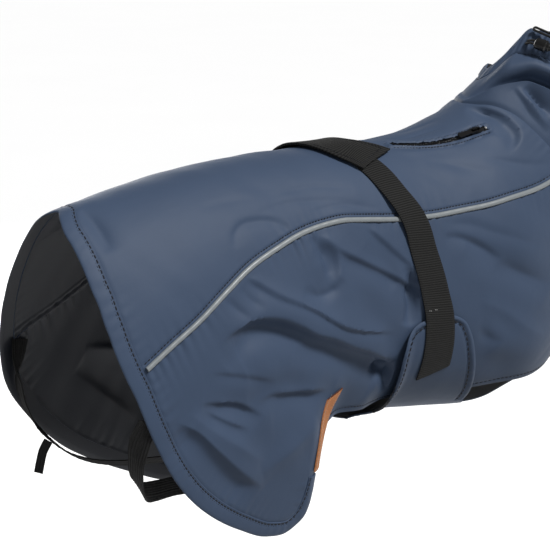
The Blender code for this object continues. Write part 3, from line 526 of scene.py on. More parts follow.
def collarSeam(fractions):
    along = hermite(collarCut["seam"], np.abs(fractions))
    return np.column_stack([along, np.asarray(fractions) * halfRound(along)])


def seamFraction(distance):
    test = np.linspace(0, 1, 400)
    return float(np.interp(distance, collarSeam(test)[:, 1], test))


pipingEnd = seamFraction(cut["piping"][-1][1])
chestFraction = seamFraction(halfRound(cut["chestSide"][0][0]) - cut["chestSide"][0][1])


def pipingLine(side):
    rows = np.multiply(cut["piping"], (1.0, side))
    rows[0] = hemInner[pipingStart[side]]
    line = smoothLine(rows)
    line[-1] = collarSeam([side * pipingEnd])[0]
    return line


piping = {side: pipingLine(side) for side, word in sides}
print("torso and cut lines worked out")

view = {
    "place": (-0.880, -1.071, 0.241),
    "right": (0.7986, -0.6018, 0.0),
    "up": (0.1558, 0.2067, 0.9659),
    "focal": 1442 / 550,  # focal length over the frame's width
    "sensor": 36.0,
}


def placeCamera():
    camera = bpy.data.objects.new("camera", bpy.data.cameras.new("camera"))
    bpy.context.scene.collection.objects.link(camera)
    camera.data.sensor_width = view["sensor"]
    camera.data.sensor_fit = "HORIZONTAL"
    camera.data.lens = view["focal"] * view["sensor"]
    camera.data.clip_end = 100
    right, up = Vector(view["right"]).normalized(), Vector(view["up"]).normalized()
    axes = Matrix((right, up, right.cross(up))).transposed().to_4x4()
    axes.translation = Vector(view["place"])
    camera.matrix_world = axes
    bpy.context.scene.camera = camera


placeCamera()
print("camera placed")

cord = {
    "exit": (579.0, -19.0),
    # round the neck, up the neck, outward
    "path": [
        (-3.0, 0.8, 7.0), (0.0, 0.8, 10.2), (5.0, 0.8, 13.1), (8.0, 0.8, 13.6), (13.0, 0.8, 14.13),
        (20.0, 0.8, 14.87), (25.0, 0.8, 15.4), (28.0, 0.9, 15.7), (31.5, 3.5, 16.2), (32.5, 8.5, 16.4),
        (28.5, 13.0, 15.8), (20.0, 14.8, 14.6), (8.0, 16.0, 12.6), (-2.0, 16.8, 11.2),
    ],
    "radius": 1.3,
    "spread": 3.6,
}


def cordFrame():
    # the exit, and the ways round the neck, up it and out of it
    t, g = cord["exit"]
    here, before, after, below, above = laid([(t, g), (t, g + 3), (t, g - 3), (t - 3, g), (t + 3, g)])
    run, up = unit(after - before), unit(above - below)
    out = unit(np.cross(up, run))
    return here, run, up, out if out[1] < 0 else -out


def drawcordLine():
    here, run, up, out = cordFrame()
    half = cord["spread"] / 2
    centre = here + smoothLine(cord["path"], 1.4) @ np.array([run, up, out])
    step = stepsOf(centre)
    apart = half * unit(np.cross(step, out))
    turn = np.linspace(0, math.pi, 9)[1:-1, None]
    bend = centre[-1] + apart[-1] * np.cos(turn) + step[-1] * np.sin(turn) * half
    return np.concatenate([centre + apart, bend, (centre - apart)[::-1]])


drawcordRoute = drawcordLine()
print("drawcord laid")


# Materials.
def setInputs(tree, node, inputs):
    # each input is a value or another node's output
    for socket, value in inputs.items():
        if isinstance(value, bpy.types.NodeSocket):
            tree.links.new(value, node.inputs[socket])
        else:
            node.inputs[socket].default_value = value
    return node


def newNode(tree, kind, inputs):
    return setInputs(tree, tree.nodes.new("ShaderNode" + kind), inputs)


def shaderOf(name, colour, roughness, metallic=0.0):
    made = bpy.data.materials.new(name)
    made.use_nodes = True
    made.diffuse_color = (*colour, 1)
    tree = made.node_tree
    shader = tree.nodes["Principled BSDF"]
    setInputs(tree, shader, {"Base Color": (*colour, 1), "Roughness": roughness, "Metallic": metallic})
    return made, tree, shader, newNode(tree, "TexCoord", {}).outputs


def blended(tree, shader, share, colour, dark, light):
    mix = tree.nodes.new("ShaderNodeMix")
    mix.data_type = "RGBA"
    low, high = ((*[min(1, c * k) for c in colour], 1) for k in (dark, light))
    setInputs(tree, mix, {0: share, 6: low, 7: high})
    setInputs(tree, shader, {"Base Color": mix.outputs[2]})


def mottled(tree, shader, source, colour, spread, scale):
    noise = newNode(tree, "TexNoise", {"Vector": source, "Scale": scale, "Detail": 4})
    blended(tree, shader, noise.outputs["Fac"], colour, 1 - spread, 1 + spread)


def bump(tree, shader, height, strength, distance):
    # each bump adds to those before it
    made = newNode(tree, "Bump", {"Strength": strength, "Distance": distance, "Height": height})
    for link in shader.inputs["Normal"].links:
        setInputs(tree, made, {"Normal": link.from_socket})
    setInputs(tree, shader, {"Normal": made.outputs["Normal"]})


def bands(tree, source, period, direction, angle=0.0):
    turn = newNode(tree, "Mapping", {"Vector": source, "Rotation": (0, 0, angle)})
    wave = newNode(tree, "TexWave", {
        "Vector": turn.outputs["Vector"], "Distortion": 0,
        "Scale": 0.314 / period,  # one band each period, in metres
    })
    wave.bands_direction = direction
    return wave.outputs["Fac"]


def coatedCloth(name, colour, roughness, sheen):
    made, tree, shader, where = shaderOf(name, colour, roughness)
    mottled(tree, shader, where["Object"], colour, 0.10, 9)
    warp, weft = (bands(tree, where["UV"], 0.0006, way) for way in "XY")
    weave = newNode(tree, "Math", {0: warp, 1: weft})
    bump(tree, shader, weave.outputs[0], 0.10, 0.0001)
    for scale, finer, strength, distance in ((140, 3, 0.15, 0.0008), (34, 1.5, 0.35, 0.002)):
        noise = newNode(tree, "TexNoise", {"Vector": where["Object"], "Scale": scale, "Detail": finer})
        bump(tree, shader, noise.outputs["Fac"], strength, distance)
    setInputs(tree, shader, {
        "Sheen Weight": sheen, "Sheen Roughness": 0.35, "Sheen Tint": (0.75, 0.83, 1, 1),
        "Specular IOR Level": 0.22,
    })
    return made


def ribbed(name, colour, roughness, period, angle, depth, direction):
    made, tree, shader, where = shaderOf(name, colour, roughness)
    ribs = bands(tree, where["UV"], period, direction, math.radians(angle))
    threads = bands(tree, where["UV"], period * 0.45, "Y", math.radians(angle))
    # the rib wave also sets the colour: painted shade in the grooves and painted highlight on the crests
    blended(tree, shader, ribs, colour, 0.15, 2.8)
    bump(tree, shader, newNode(tree, "Math", {0: ribs, 1: threads}).outputs[0], 0.6, depth)
    setInputs(tree, shader, {"Specular IOR Level": 0.25})
    return made


def plainFinish(name, colour, roughness, grain, depth=0.0001, spread=0.1, metallic=0.0):
    made, tree, shader, where = shaderOf(name, colour, roughness, metallic)
    mottled(tree, shader, where["Object"], colour, spread, grain / 4)
    noise = newNode(tree, "TexNoise", {"Vector": where["Object"], "Scale": grain})
    bump(tree, shader, noise.outputs["Fac"], 0.3, depth)
    return made


plainFinishes = {  # colour, roughness, grain, and where they differ: depth, spread of colour, metallic
    "cloth_inside": ((0.010, 0.012, 0.018), 0.55, 900),
    "reflective_piping": ((0.22, 0.24, 0.25), 0.38, 1500, 0.00005),
    "navy_thread": ((0.004, 0.005, 0.009), 0.9, 2500),
    "pale_thread": ((0.42, 0.42, 0.41), 0.6, 2500),
    "zip_black": ((0.0045, 0.0045, 0.005), 0.22, 900, 0.00003),
    "black_enamel": ((0.006, 0.006, 0.0065), 0.20, 700, 0.00002, 0.1, 0.2),
    "lock_plastic": ((0.006, 0.006, 0.006), 0.28, 600, 0.00003),
    "cord_weave": ((0.008, 0.008, 0.008), 0.75, 2600, 0.0002, 0.4),
}
ribbedFinishes = {  # colour, roughness, rib to rib in metres, angle, depth, direction
    "belt_webbing": ((0.0075, 0.0075, 0.0072), 0.8, 0.0022, 14, 0.0005, "X"),
    "leg_elastic_weave": ((0.004, 0.004, 0.0042), 0.8, 0.0030, 0, 0.0003, "Y"),
    "label_weave": ((0.52, 0.150, 0.062), 0.7, 0.0012, 0, 0.00012, "X"),
}
looks = {name: plainFinish(name, *row) for name, row in plainFinishes.items()}
looks.update({name: ribbed(name, *row) for name, row in ribbedFinishes.items()})
clothFaces = [coatedCloth("navy_coated_cloth", (0.046, 0.070, 0.120), 0.58, 0.02), looks["cloth_inside"]]
print("materials made")


# Making meshes.
def detail(full, quick):
    return full


def active(piece):
    bpy.ops.object.select_all(action="DESELECT")
    piece.select_set(True)
    bpy.context.view_layer.objects.active = piece


def smooth(piece, degrees=40):
    active(piece)
    bpy.ops.object.shade_smooth_by_angle(angle=math.radians(degrees))


def editAll(piece, *steps):
    # operators in edit mode, each on the whole mesh
    active(piece)
    bpy.ops.object.mode_set(mode="EDIT")
    bpy.ops.mesh.select_mode(type="VERT")
    for operator, settings in steps:
        bpy.ops.mesh.select_all(action="SELECT")
        operator(**settings)
    bpy.ops.object.mode_set(mode="OBJECT")


mergeDoubles = (bpy.ops.mesh.remove_doubles, {"threshold": 0.00001})


def gridPiece(name, points, cloth, flip=False):
    # a lattice of points, rows by columns, with its own places on the cloth as UV
    rows, columns = points.shape[:2]
    bpy.ops.object.select_all(action="DESELECT")
    bpy.ops.mesh.primitive_grid_add(x_subdivisions=columns - 1, y_subdivisions=rows - 1, size=1)
    piece = bpy.context.object
    mesh = piece.data
    piece.name = mesh.name = name
    flat = np.empty(len(mesh.vertices) * 3, np.float32)
    mesh.vertices.foreach_get("co", flat)
    flat = flat.reshape(-1, 3)
    i = np.rint((flat[:, 1] + 0.5) * (rows - 1)).astype(int)
    j = np.rint((flat[:, 0] + 0.5) * (columns - 1)).astype(int)
    mesh.vertices.foreach_set("co", (points[i, j] * mm).astype(np.float32).ravel())
    corner = np.empty(len(mesh.loops), np.int32)
    mesh.loops.foreach_get("vertex_index", corner)
    mesh.uv_layers.active.data.foreach_set("uv", (cloth[i, j][corner] * mm).astype(np.float32).ravel())
    if flip:
        mesh.flip_normals()
    mesh.update()
    return piece


def wall(name, points, cloth, flip, materials, thick, shape=None):
    # a lattice with a thickness
    piece = gridPiece(name, points, cloth, flip)
    for made in materials:
        piece.data.materials.append(made)
    if shape is not None:
        shape(piece)
    active(piece)
    solid = piece.modifiers.new("Wall", "SOLIDIFY")
    solid.thickness = thick * mm
    solid.offset = -1
    solid.use_even_offset = False
    solid.material_offset = 1
    bpy.ops.object.modifier_apply(modifier=solid.name)
    return piece


def threadsOf(run, across):
    # along and across a band, as its places for the weave
    return np.stack(np.broadcast_arrays(run, across), axis=-1)


def turnOf(places):
    # below 0 where a lattice runs so that its faces look inwards
    a = places[:-1, 1:] - places[:-1, :-1]
    b = places[1:, :-1] - places[:-1, :-1]
    return (a[..., 0] * b[..., 1] - a[..., 1] * b[..., 0]).sum()


def flatSize(points):
    # area, longest run across the rows and run along the middle row, in metres
    along, down = np.diff(points, axis=1), np.diff(points, axis=0)
    area = np.linalg.norm(np.cross(along[:-1], down[:, :-1]), axis=2).sum() * mm * mm
    wide = np.linalg.norm(down, axis=2).sum(axis=0).max() * mm
    long = np.linalg.norm(along[len(along) // 2], axis=1).sum() * mm
    return float(area), float(wide), float(max(long, area / wide))


def standFor(piece, node):
    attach(piece, "coat")
    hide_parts(node)


def clothPiece(name, node, places, lift, onBody=None, shape=None, closed=False, thick=None):
    # a thin wall over a lattice of places, and its flat size
    flat = places.reshape(-1, 2)
    spots = flat if onBody is None else onBody(flat)
    points = laid(spots, lift).reshape(*places.shape[:2], 3)
    if closed:
        points[:, -1] = points[:, 0]
    piece = wall(name, points, places, turnOf(places) < 0, clothFaces, thick or cut["wall"], shape)
    smooth(piece)
    standFor(piece, node)
    area, wide, long = flatSize(bare(*spots.T).reshape(points.shape))


def smallBead():
    bpy.ops.object.select_all(action="DESELECT")
    bpy.ops.mesh.primitive_uv_sphere_add(segments=6, ring_count=4, radius=1)
    bead = bpy.context.object
    turn = {"value": math.pi / 2, "orient_axis": "Y", "center_override": (0, 0, 0)}
    editAll(bead, (bpy.ops.transform.rotate, turn))
    verts = np.array([tuple(v.co) for v in bead.data.vertices])
    # Blender gives the faces in another order each run, so they are put in one fixed order
    faces = [tuple(p.vertices) for p in bead.data.polygons]
    starts = [face.index(min(face)) for face in faces]
    faces = sorted(face[k:] + face[:k] for face, k in zip(faces, starts))
    bpy.data.objects.remove(bead, do_unlink=True)
    return verts, faces


beadVerts, beadFaces = smallBead()


def beads(name, centres, axes, made):
    # one small bead set down many times, with its own three axes each time
    points = centres[:, None] + sum(beadVerts[None, :, k : k + 1] * axes[k][:, None] for k in range(3))
    step = len(beadVerts)
    faces = [tuple(i + k * step for i in face) for k in range(len(centres)) for face in beadFaces]
    mesh = bpy.data.meshes.new(name)
    mesh.from_pydata([tuple(p) for p in points.reshape(-1, 3) * mm], [], faces)
    mesh.materials.append(looks[made])
    mesh.polygons.foreach_set("use_smooth", [True] * len(mesh.polygons))
    piece = bpy.data.objects.new(name, mesh)
    bpy.context.scene.collection.objects.link(piece)
    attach(piece, "coat")


thread = {  # pitch, length and radius of a stitch
    "plain": (3.4, 2.6, 0.52),
    "wing": (5.4, 4.4, 0.75),
    "hemOuter": (4.8, 4.0, 0.75),
    "hemInner": (3.4, 2.4, 0.45),
    "strap": (1.6, 1.3, 0.32),
    "label": (2.4, 1.7, 0.2),
}
# how far from its edge or seam each row lies
stitchGap = {"piping": 5.6, "hem": 12.9, "edge": 6.0, "wing": 6.0, "zip": 6.4, "label": 1.6}


def stitching(name, line, lift, size="plain", made="navy_thread", onBody=None):
    # a row of stitches along a line of places
    pitch, length, radius = thread[size]
    run = np.arange(pitch / 2, runOf(line)[-1] - pitch / 2, pitch)
    start, end = resample(line, run - length / 2), resample(line, run + length / 2)
    middle = (start + end) / 2
    put = onBody or (lambda places: places)
    lifts = lift(middle) if callable(lift) else lift
    a, b = laid(put(start), lifts), laid(put(end), lifts)
    up = laid(put(middle), lifts + 1) - laid(put(middle), lifts)
    across = np.cross(up, unit(b - a))
    beads(name, (a + b) / 2, ((b - a) / 2, across * radius, up * radius * 0.8), made)


# Cloth surfaces.
def unevenness(places):
    t, g = places.T
    return (
        0.34 * np.sin(t / 9.1 + g / 23.0 + 1.2 * np.sin(g / 31.0))
        + 0.30 * np.sin(t / 21.0 - g / 12.3 + 1.4 * np.sin(t / 44.0))
        + 0.22 * np.sin(t / 6.3 + g / 8.9 + 1.1 * np.sin(t / 27.0 + g / 35.0))
    )


def sewn(places, line, depth, width, gathers=None):
    # a groove along a sewn line, and little gathers that fade away from it: reach, height, spacing
    distance, share, side = nearestOn(line, places)
    height = -depth * bell(distance, width)
    if gathers:
        reach, rise, period = gathers
        run = share * runOf(line)[-1]
        wave = np.sin(2 * math.pi * run / period + 1.9 * np.sin(run / 17.0) + side)
        wave += 0.6 * np.sin(2 * math.pi * run / (period * 1.7) + 1.1 * np.sin(run / 29.0))
        fade = np.exp(-distance / reach) * ramp(distance, 0.4, 3.0)
        height += rise * wave * fade * (0.5 + 0.5 * np.sin(run / 23.0))
    return height


def spacedShares(length, coarse, fine, edge, ends=(True, True)):
    # shares from 0 to 1 with finer steps within edge of the chosen ends
    coarse, fine = detail(coarse, 5), detail(fine, 5)
    steps = [0.0]
    while steps[-1] < length:
        at = steps[-1]
        close = (ends[0] and at < edge) or (ends[1] and at > length - edge)
        steps.append(at + (fine if close else coarse))
    return np.array(steps) / steps[-1]


def coons(rear, front, low, high, u, v):
    # places between four lines: rear and front run with v, low and high run with u
    rear, front = sampled(rear, v)[:, None], sampled(front, v)[:, None]
    low, high = sampled(low, u)[None], sampled(high, u)[None]
    u, v = u[None, :, None], v[:, None, None]
    corners = (
        (1 - u) * (1 - v) * rear[0] + u * (1 - v) * front[0]
        + (1 - u) * v * rear[-1] + u * v * front[-1]
    )
    return (1 - u) * rear + u * front + (1 - v) * low + v * high - corners


def seamPlaces(start, end):
    places = collarSeam(np.linspace(start, end, 160))
    places[:, 0] += cut["overlap"]
    return places


zipCut = {
    "line": [(372, -20), (401, -29.5), (424, -36), (447, -40.5), (465, -43), (480, -45.5)],
    "halfWindow": 2.9,
    "lips": [(1.7, 4.6, 1.6), (-0.9, 7.6, 1.2)],  # height, distance and width beside the slot
    "tapeWidth": 7.0,
    "tapeLift": 1.2,
    "tapeThick": 1.1,
    "toothPitch": 2.0,
    "toothLift": 1.65,
    "closed": 0.84,  # the share of its length that shows teeth
}
zipLine = smoothLine(zipCut["line"], 1.0)


def byZip(places):
    # distance from the zip's middle line, share along it, and whether that is along its slot
    distance, share = nearestOn(zipLine, places)[:2]
    return distance, share, (share > 0.002) & (share < 0.998)


def cutZipWindow(piece):
    mesh = piece.data
    layer = mesh.uv_layers.active.data
    corners = [[layer[i].uv for i in face.loop_indices] for face in mesh.polygons]
    distance, _, beside = byZip(np.mean(corners, axis=1) / mm)
    active(piece)
    bpy.ops.object.mode_set(mode="EDIT")
    bpy.ops.mesh.select_mode(type="FACE")
    bpy.ops.mesh.select_all(action="DESELECT")
    bpy.ops.object.mode_set(mode="OBJECT")
    mesh.polygons.foreach_set("select", beside & (distance < zipCut["halfWindow"]))
    bpy.ops.object.mode_set(mode="EDIT")
    bpy.ops.mesh.delete(type="FACE")
    bpy.ops.object.mode_set(mode="OBJECT")


backCut = {
    # length, step, fine step near the edges, how wide those are
    "across": (500, 2.3, 1.2, 8),
    "along": (250, 1.9, 0.9, 11),
    "uneven": 0.5,
    # depth and width of the groove, and reach, height and spacing of the gathers beside it
    "hem": (0.6, 2.0, (8, 0.35, 10)),
    "collar": (0.8, 2.0, (8, 0.4, 9)),
    "piping": (1.0, 2.2, (9, 0.7, 9)),
    "stitches": (0.55, 1.1),
}


def backPanel():
    gap = cut["overlap"] / 2
    rear = hemSeam[pipingStart[-1] : pipingStart[1] + 1]
    front = seamPlaces(-pipingEnd, pipingEnd)
    right, left = shifted(piping[-1], -gap), shifted(piping[1], gap)
    u, v = spacedShares(*backCut["across"]), spacedShares(*backCut["along"])
    places = coons(rear, front, right, left, u, v)
    flat = places.reshape(-1, 2)
    distance, share, beside = byZip(flat)
    rim = beside & (np.abs(distance - zipCut["halfWindow"]) < 0.75)  # its places move onto the slot's edge
    foot = sampled(zipLine, share[rim])
    flat[rim] = foot + (flat[rim] - foot) * (zipCut["halfWindow"] / distance[rim])[:, None]
    lift = cut["cloth"] + unevenness(flat) * backCut["uneven"]
    lift += sewn(flat, rear, *backCut["hem"]) + sewn(flat, front, *backCut["collar"])
    for side in (-1, 1):
        stitches = shifted(piping[side], -side * stitchGap["piping"])
        lift += sewn(flat, piping[side], *backCut["piping"]) + sewn(flat, stitches, *backCut["stitches"])
    distance = byZip(flat)[0]
    for height, at, width in zipCut["lips"]:
        lift += height * bell(distance - at, width)
    clothPiece("back_cloth", "back_panel", places, lift, shape=cutZipWindow)


def matchedShares(line, marks):
    run = runOf(line)
    return np.array([run[np.argmin(np.linalg.norm(line - mark, axis=1))] for mark in marks]) / run[-1]


def ruled(top, bottom, marks, columns, v):
    # strands between two lines, which meet them at the marks: a place on each
    marks = np.reshape(marks, (-1, 4))
    a, b = matchedShares(top, marks[:, :2]), matchedShares(bottom, marks[:, 2:])
    lengths = np.maximum(np.diff(a) * runOf(top)[-1], np.diff(b) * runOf(bottom)[-1])
    spots = np.concatenate([[0], np.cumsum(lengths)])
    at = np.linspace(0, spots[-1], columns)
    topAt, bottomAt = sampled(top, np.interp(at, spots, a)), sampled(bottom, np.interp(at, spots, b))
    return (1 - v[:, None, None]) * topAt[None] + v[:, None, None] * bottomAt[None], at / spots[-1]


flankCut = {
    # where a strand starts on the piping, and where it ends on the hem or the lower edge
    "marks": [
        (29, 168, 29, 168), (60, 160, 67, 246), (97, 148, 118, 320), (126, 134, 150, 355),
        (155, 120, 180, 370), (178, 112, 203, 374), (200, 105, 216, 366), (215, 102, 232, 330),
        (232, 100, 246, 296), (262, 99, 268, 294), (360, 108, 360, 304), (440, 117, 440, 318),
        (518, 133, 494, 320),
    ],
    "strands": (290, 110),
    "down": (215, 2.1, 1.0, 9),
    "toFront": (0.72, 1.0),  # from here on the strands turn to the front edge
    "uneven": 0.7,
    "piping": (1.0, 2.2, (10, 1.0, 8)),
    "hem": (0.6, 2.0, (9, 0.45, 10)),
    "front": (0.7, 2.0, (8, 0.4, 9)),
    "stitches": (0.5, 1.1),
}


def flank(side, word):
    gap = cut["overlap"] / 2
    start = pipingStart[side]
    hem = hemSeam[start:] if side > 0 else hemSeam[: start + 1][::-1]
    top = shifted(piping[side], -side * gap)
    bottom = np.concatenate([hem[:-1], lowerEdge[side][1:]])
    chest = smoothLine(cut["chestSide"])
    chest[:, 1] = side * (halfRound(chest[:, 0]) - chest[:, 1] + gap)
    front = np.concatenate([seamPlaces(side * pipingEnd, side * chestFraction)[:-1], chest])
    marks = np.multiply(flankCut["marks"], (1, side, 1, side))
    v = spacedShares(*flankCut["down"])
    places, u = ruled(top, bottom, marks, detail(*flankCut["strands"]), v)
    pull = ramp(u, *flankCut["toFront"])[None, :, None]
    places = places + pull * (sampled(front, v)[:, None] - places[:, -1:])
    flat = places.reshape(-1, 2)
    lift = cut["cloth"] + unevenness(flat) * flankCut["uneven"]
    stitches = shifted(lowerEdge[side], -side * stitchGap["edge"])
    for key, line in (("piping", top), ("hem", hem), ("front", front), ("stitches", stitches)):
        lift += sewn(flat, line, *flankCut[key])
    clothPiece("flank_cloth_" + word, "flank_" + word, places, lift)


chestCut = {
    # along, distance from the lowest line
    "legSide": [(516, 46), (494, 60), (458, 29), (423, 36)],
    # along the lowest line, along and round the wing
    "wing": [
        (410, 409, 330), (395, 395, 233), (382, 378, 208), (366, 353, 206), (350, 332, 216),
        (338, 324, 255), (327, 328, 298), (314, 317, 348),
    ],
    "middle": (516, 314),  # the ends of the lowest line
    "strands": (170, 70),
    "across": (150, 2.4, 0.9, 9),
    "layer": 3.0,  # it lies over the flank at the rear
    "stand": 5.0,  # and its wings stand off a little more
    "uneven": 0.4,
    "rim": (0.6, 0.9, (7, 0.5, 7)),
    "bead": (0.8, 2.6, 2.0),  # height, distance and width of the turned edge
    "stitches": (1.1, 1.5),
}


def chestLift(places):
    along, away = places[:, 0], halfRound(360) - np.abs(places[:, 1])
    over = chestCut["layer"] * (1 - ramp(along, 425, 470))
    stand = chestCut["stand"] * (1 - ramp(along, 326, 341)) * ramp(away, 206, 240)
    return cut["cloth"] + over + stand * (1 - ramp(away, 300, 350))


def chestPiece():
    chest = smoothLine(cut["chestSide"]) + (0.0, cut["overlap"] / 2)
    wing = np.array([(t, halfRound(t) - g) for t, g in smoothLine(cut["wing"])])
    outline = np.concatenate([chest[:-1], smoothLine(cut["legSide"])[:-1], wing])
    middle = np.column_stack([np.linspace(*chestCut["middle"], 90), np.zeros(90)])
    marks = [(t, 0, t, away) for t, away in chestCut["legSide"]]
    marks += [(start, 0, t, halfRound(t) - g) for start, t, g in chestCut["wing"]]
    v = spacedShares(*chestCut["across"], (False, True))
    places, u = ruled(middle, outline, marks, detail(*chestCut["strands"]), v)
    share = 1 - places[..., 1] / halfRound(places[..., 0])
    toSeam = hermite(collarCut["seam"], share) + cut["overlap"] - middle[0, 0]
    places[..., 0] += ramp(u, 0.1, 0.0) * toSeam
    places = np.concatenate([(places[::-1] * (1, -1))[:-1], places])
    flat = places.reshape(-1, 2)
    lift = chestLift(flat) + unevenness(flat) * chestCut["uneven"]
    height, at, width = chestCut["bead"]
    for side in (-1, 1):
        rim = wing * (1, side)
        lift += sewn(flat, shifted(rim, side * stitchGap["wing"]), *chestCut["stitches"])
        lift += height * bell(nearestOn(rim, flat)[0] - at, width) + sewn(flat, rim, *chestCut["rim"])
    clothPiece("chest_cloth", "chest_piece", places, lift, onBody=underRound)
    for side, word in sides:
        stitching("wing_stitching_" + word, shifted(wing * (1, -side), -side * stitchGap["wing"]),
                  lambda places: chestLift(places) + 0.1, "wing", onBody=underRound)


def ring(name, rings, cloth, materials, innerFrom=None):
    # a closed tube of cross sections, rows of points
    points, spread = (np.concatenate([rows, rows[:, :1]], axis=1) for rows in (rings, cloth))
    piece = gridPiece(name, points, spread)
    for made in materials:
        piece.data.materials.append(made)
    if innerFrom is not None:
        index = np.arange(len(piece.data.polygons)) % rings.shape[1]
        piece.data.polygons.foreach_set("material_index", (index >= innerFrom).astype(np.int32))
    editAll(piece, mergeDoubles, (bpy.ops.mesh.fill_holes, {"sides": 0}),
            (bpy.ops.mesh.normals_make_consistent, {"inside": False}))
    smooth(piece, 50)
    return piece


binding = {
    # distance in from the edge, lift: the outer face up to its stitched rim, then the inner one
    "profile": [
        (0.0, 0.7), (0.25, 1.5), (1.2, 1.95), (3.5, 2.1), (7.0, 2.2), (10.5, 2.0), (12.2, 1.7),
        (13.0, 1.35), (13.8, 1.7), (14.6, 1.75), (15.0, 1.2), (15.0, 0.2), (11.0, 0.0), (6.0, -0.1),
        (1.0, 0.0),
    ],
    "innerFrom": 11,
    "wave": 0.28,
    "rows": [(0.0, "hemOuter"), (1.6, "hemInner")],  # how far out from the stitch line, thread
}


def hemBinding():
    line = smoothLine(hemOuter, detail(2.4, 6))
    profile = np.array(binding["profile"])
    lines = np.stack([shifted(line, -across) for across in profile[:, 0]], axis=1)
    across, lift = np.tile(profile.T, len(line))
    outer = np.tile(np.arange(len(profile)) < binding["innerFrom"], len(line))
    run = np.repeat(runOf(line), len(profile))
    wave = np.sin(run / 2.1 + 1.5 * np.sin(run / 13)) * (0.5 + 0.5 * np.sin(run / 31))
    lift += binding["wave"] * wave * outer * np.sin(math.pi * np.clip(across / 13.0, 0, 1))
    piece = ring("hem_binding", laidGrid(lines, lift), lines, clothFaces, binding["innerFrom"])
    standFor(piece, "hem_band")
    for k, (out, size) in enumerate(binding["rows"], 1):
        row = shifted(smoothLine(hemOuter), out - stitchGap["hem"])
        stitching(f"hem_stitching_{k}", row, 1.62, size)


def closeCollar(piece):
    editAll(piece, mergeDoubles)


def collar():
    fractions = np.linspace(-1, 1, detail(421, 161))
    shares = np.linspace(0, 1, detail(72, 36))
    seam, rise = collarSeam(fractions), hermite(collarCut["height"], fractions)
    slack = 0.25 + 0.75 * ramp(-fractions, -0.01, 0.09) + 0.75 * ramp(fractions, 0.3, 0.7)
    top = collarCut["tunnelSeam"]
    (atSeam, atTunnel), (inside, under) = collarCut["grooves"], collarCut["gather"]
    ridge, valley = (hermite(collarCut[key], np.abs(fractions)) for key in ("ridge", "valley"))
    s = np.column_stack([  # the rows follow the ridge and the valley
        np.interp(shares, [0, 0.3, 0.46, 0.7, 1], [0, low, deep, top, 1])
        for low, deep in zip(ridge, valley)
    ])
    f = fractions[None]
    far, angle = np.abs(f), f * math.pi
    along = seam[None, :, 0] + s * rise[None]
    places = np.stack([along, f * halfRound(along)], axis=-1)
    tunnel = ramp(s, top, top + 0.06) * (1 - 0.55 * ramp(s, 0.93, 1.0))
    below = ramp(s, top - 0.16, top) * (1 - ramp(s, top, top + 0.03))
    gather = np.sin(64 * angle + 2.2 * np.sin(5 * angle) + 1.4 * np.sin(11 * angle + 1))
    gather += 0.6 * np.sin(39 * angle + 2.0 * np.sin(7 * angle + 2))
    gather *= 0.3 + 0.7 * ramp(far, 0.02, 0.10)
    sway = np.sin(7 * angle + 9 * s + 1.3 * np.sin(4 * angle)) * np.sin(math.pi * np.clip(s, 0, 0.6) / 0.6)
    lift = collarForm(f, s) * slack[None] + gather * (inside * tunnel + under * below)
    lift += collarCut["sway"] * sway * ramp(far, 0.3, 0.45) - atTunnel[0] * bell(s - top, atTunnel[1])
    flat = places.reshape(-1, 2)
    lift = lift.ravel() + cut["cloth"] + unevenness(flat) * collarCut["uneven"] + sewn(flat, seam, *atSeam)
    clothPiece("collar_cloth", "collar", places, lift, shape=closeCollar, closed=True,
               thick=collarCut["thick"])
    along = seam[:, 0] + top * rise
    line = np.column_stack([along, fractions * halfRound(along)])
    level = collarForm(fractions, np.full(len(fractions), top)) * slack + cut["cloth"] - 0.8

    def stitchLift(places):
        return np.interp(places[:, 1] / halfRound(places[:, 0]), fractions, level)

    stitching("tunnel_stitching", line[6:-6], stitchLift)


pipe = {
    # across and up, as shares of the width and the height
    "profile": [
        (-0.5, -0.35), (-0.5, 0.1), (-0.44, 0.55), (-0.3, 0.86), (-0.1, 1.0), (0.1, 1.0),
        (0.3, 0.86), (0.44, 0.55), (0.5, 0.1), (0.5, -0.35),
    ],
    "width": 5.0,
    "height": 2.0,
    "flat": 0.014,  # the strip it is folded from, in metres
    "shown": 0.0077,
}


def pipingTube(side, word):
    line = smoothLine(piping[side][1:-1], detail(2.5, 6))
    profile = np.array(pipe["profile"])
    lines = np.stack([shifted(line, across * pipe["width"]) for across in profile[:, 0]], axis=1)
    run = np.repeat(runOf(line), len(profile))
    lift = cut["cloth"] + 0.35 + np.tile(profile[:, 1] * pipe["height"], len(line))
    lift += 0.12 * np.sin(run / 1.9 + np.sin(run / 17))
    piece = ring("piping_tube_" + word, laidGrid(lines, lift), lines, [looks["reflective_piping"]])
    standFor(piece, "piping_" + word)
    row = shifted(line, -side * stitchGap["piping"])
    stitching(f"piping_tube_{word}_stitching", row, cut["cloth"] + 0.1)


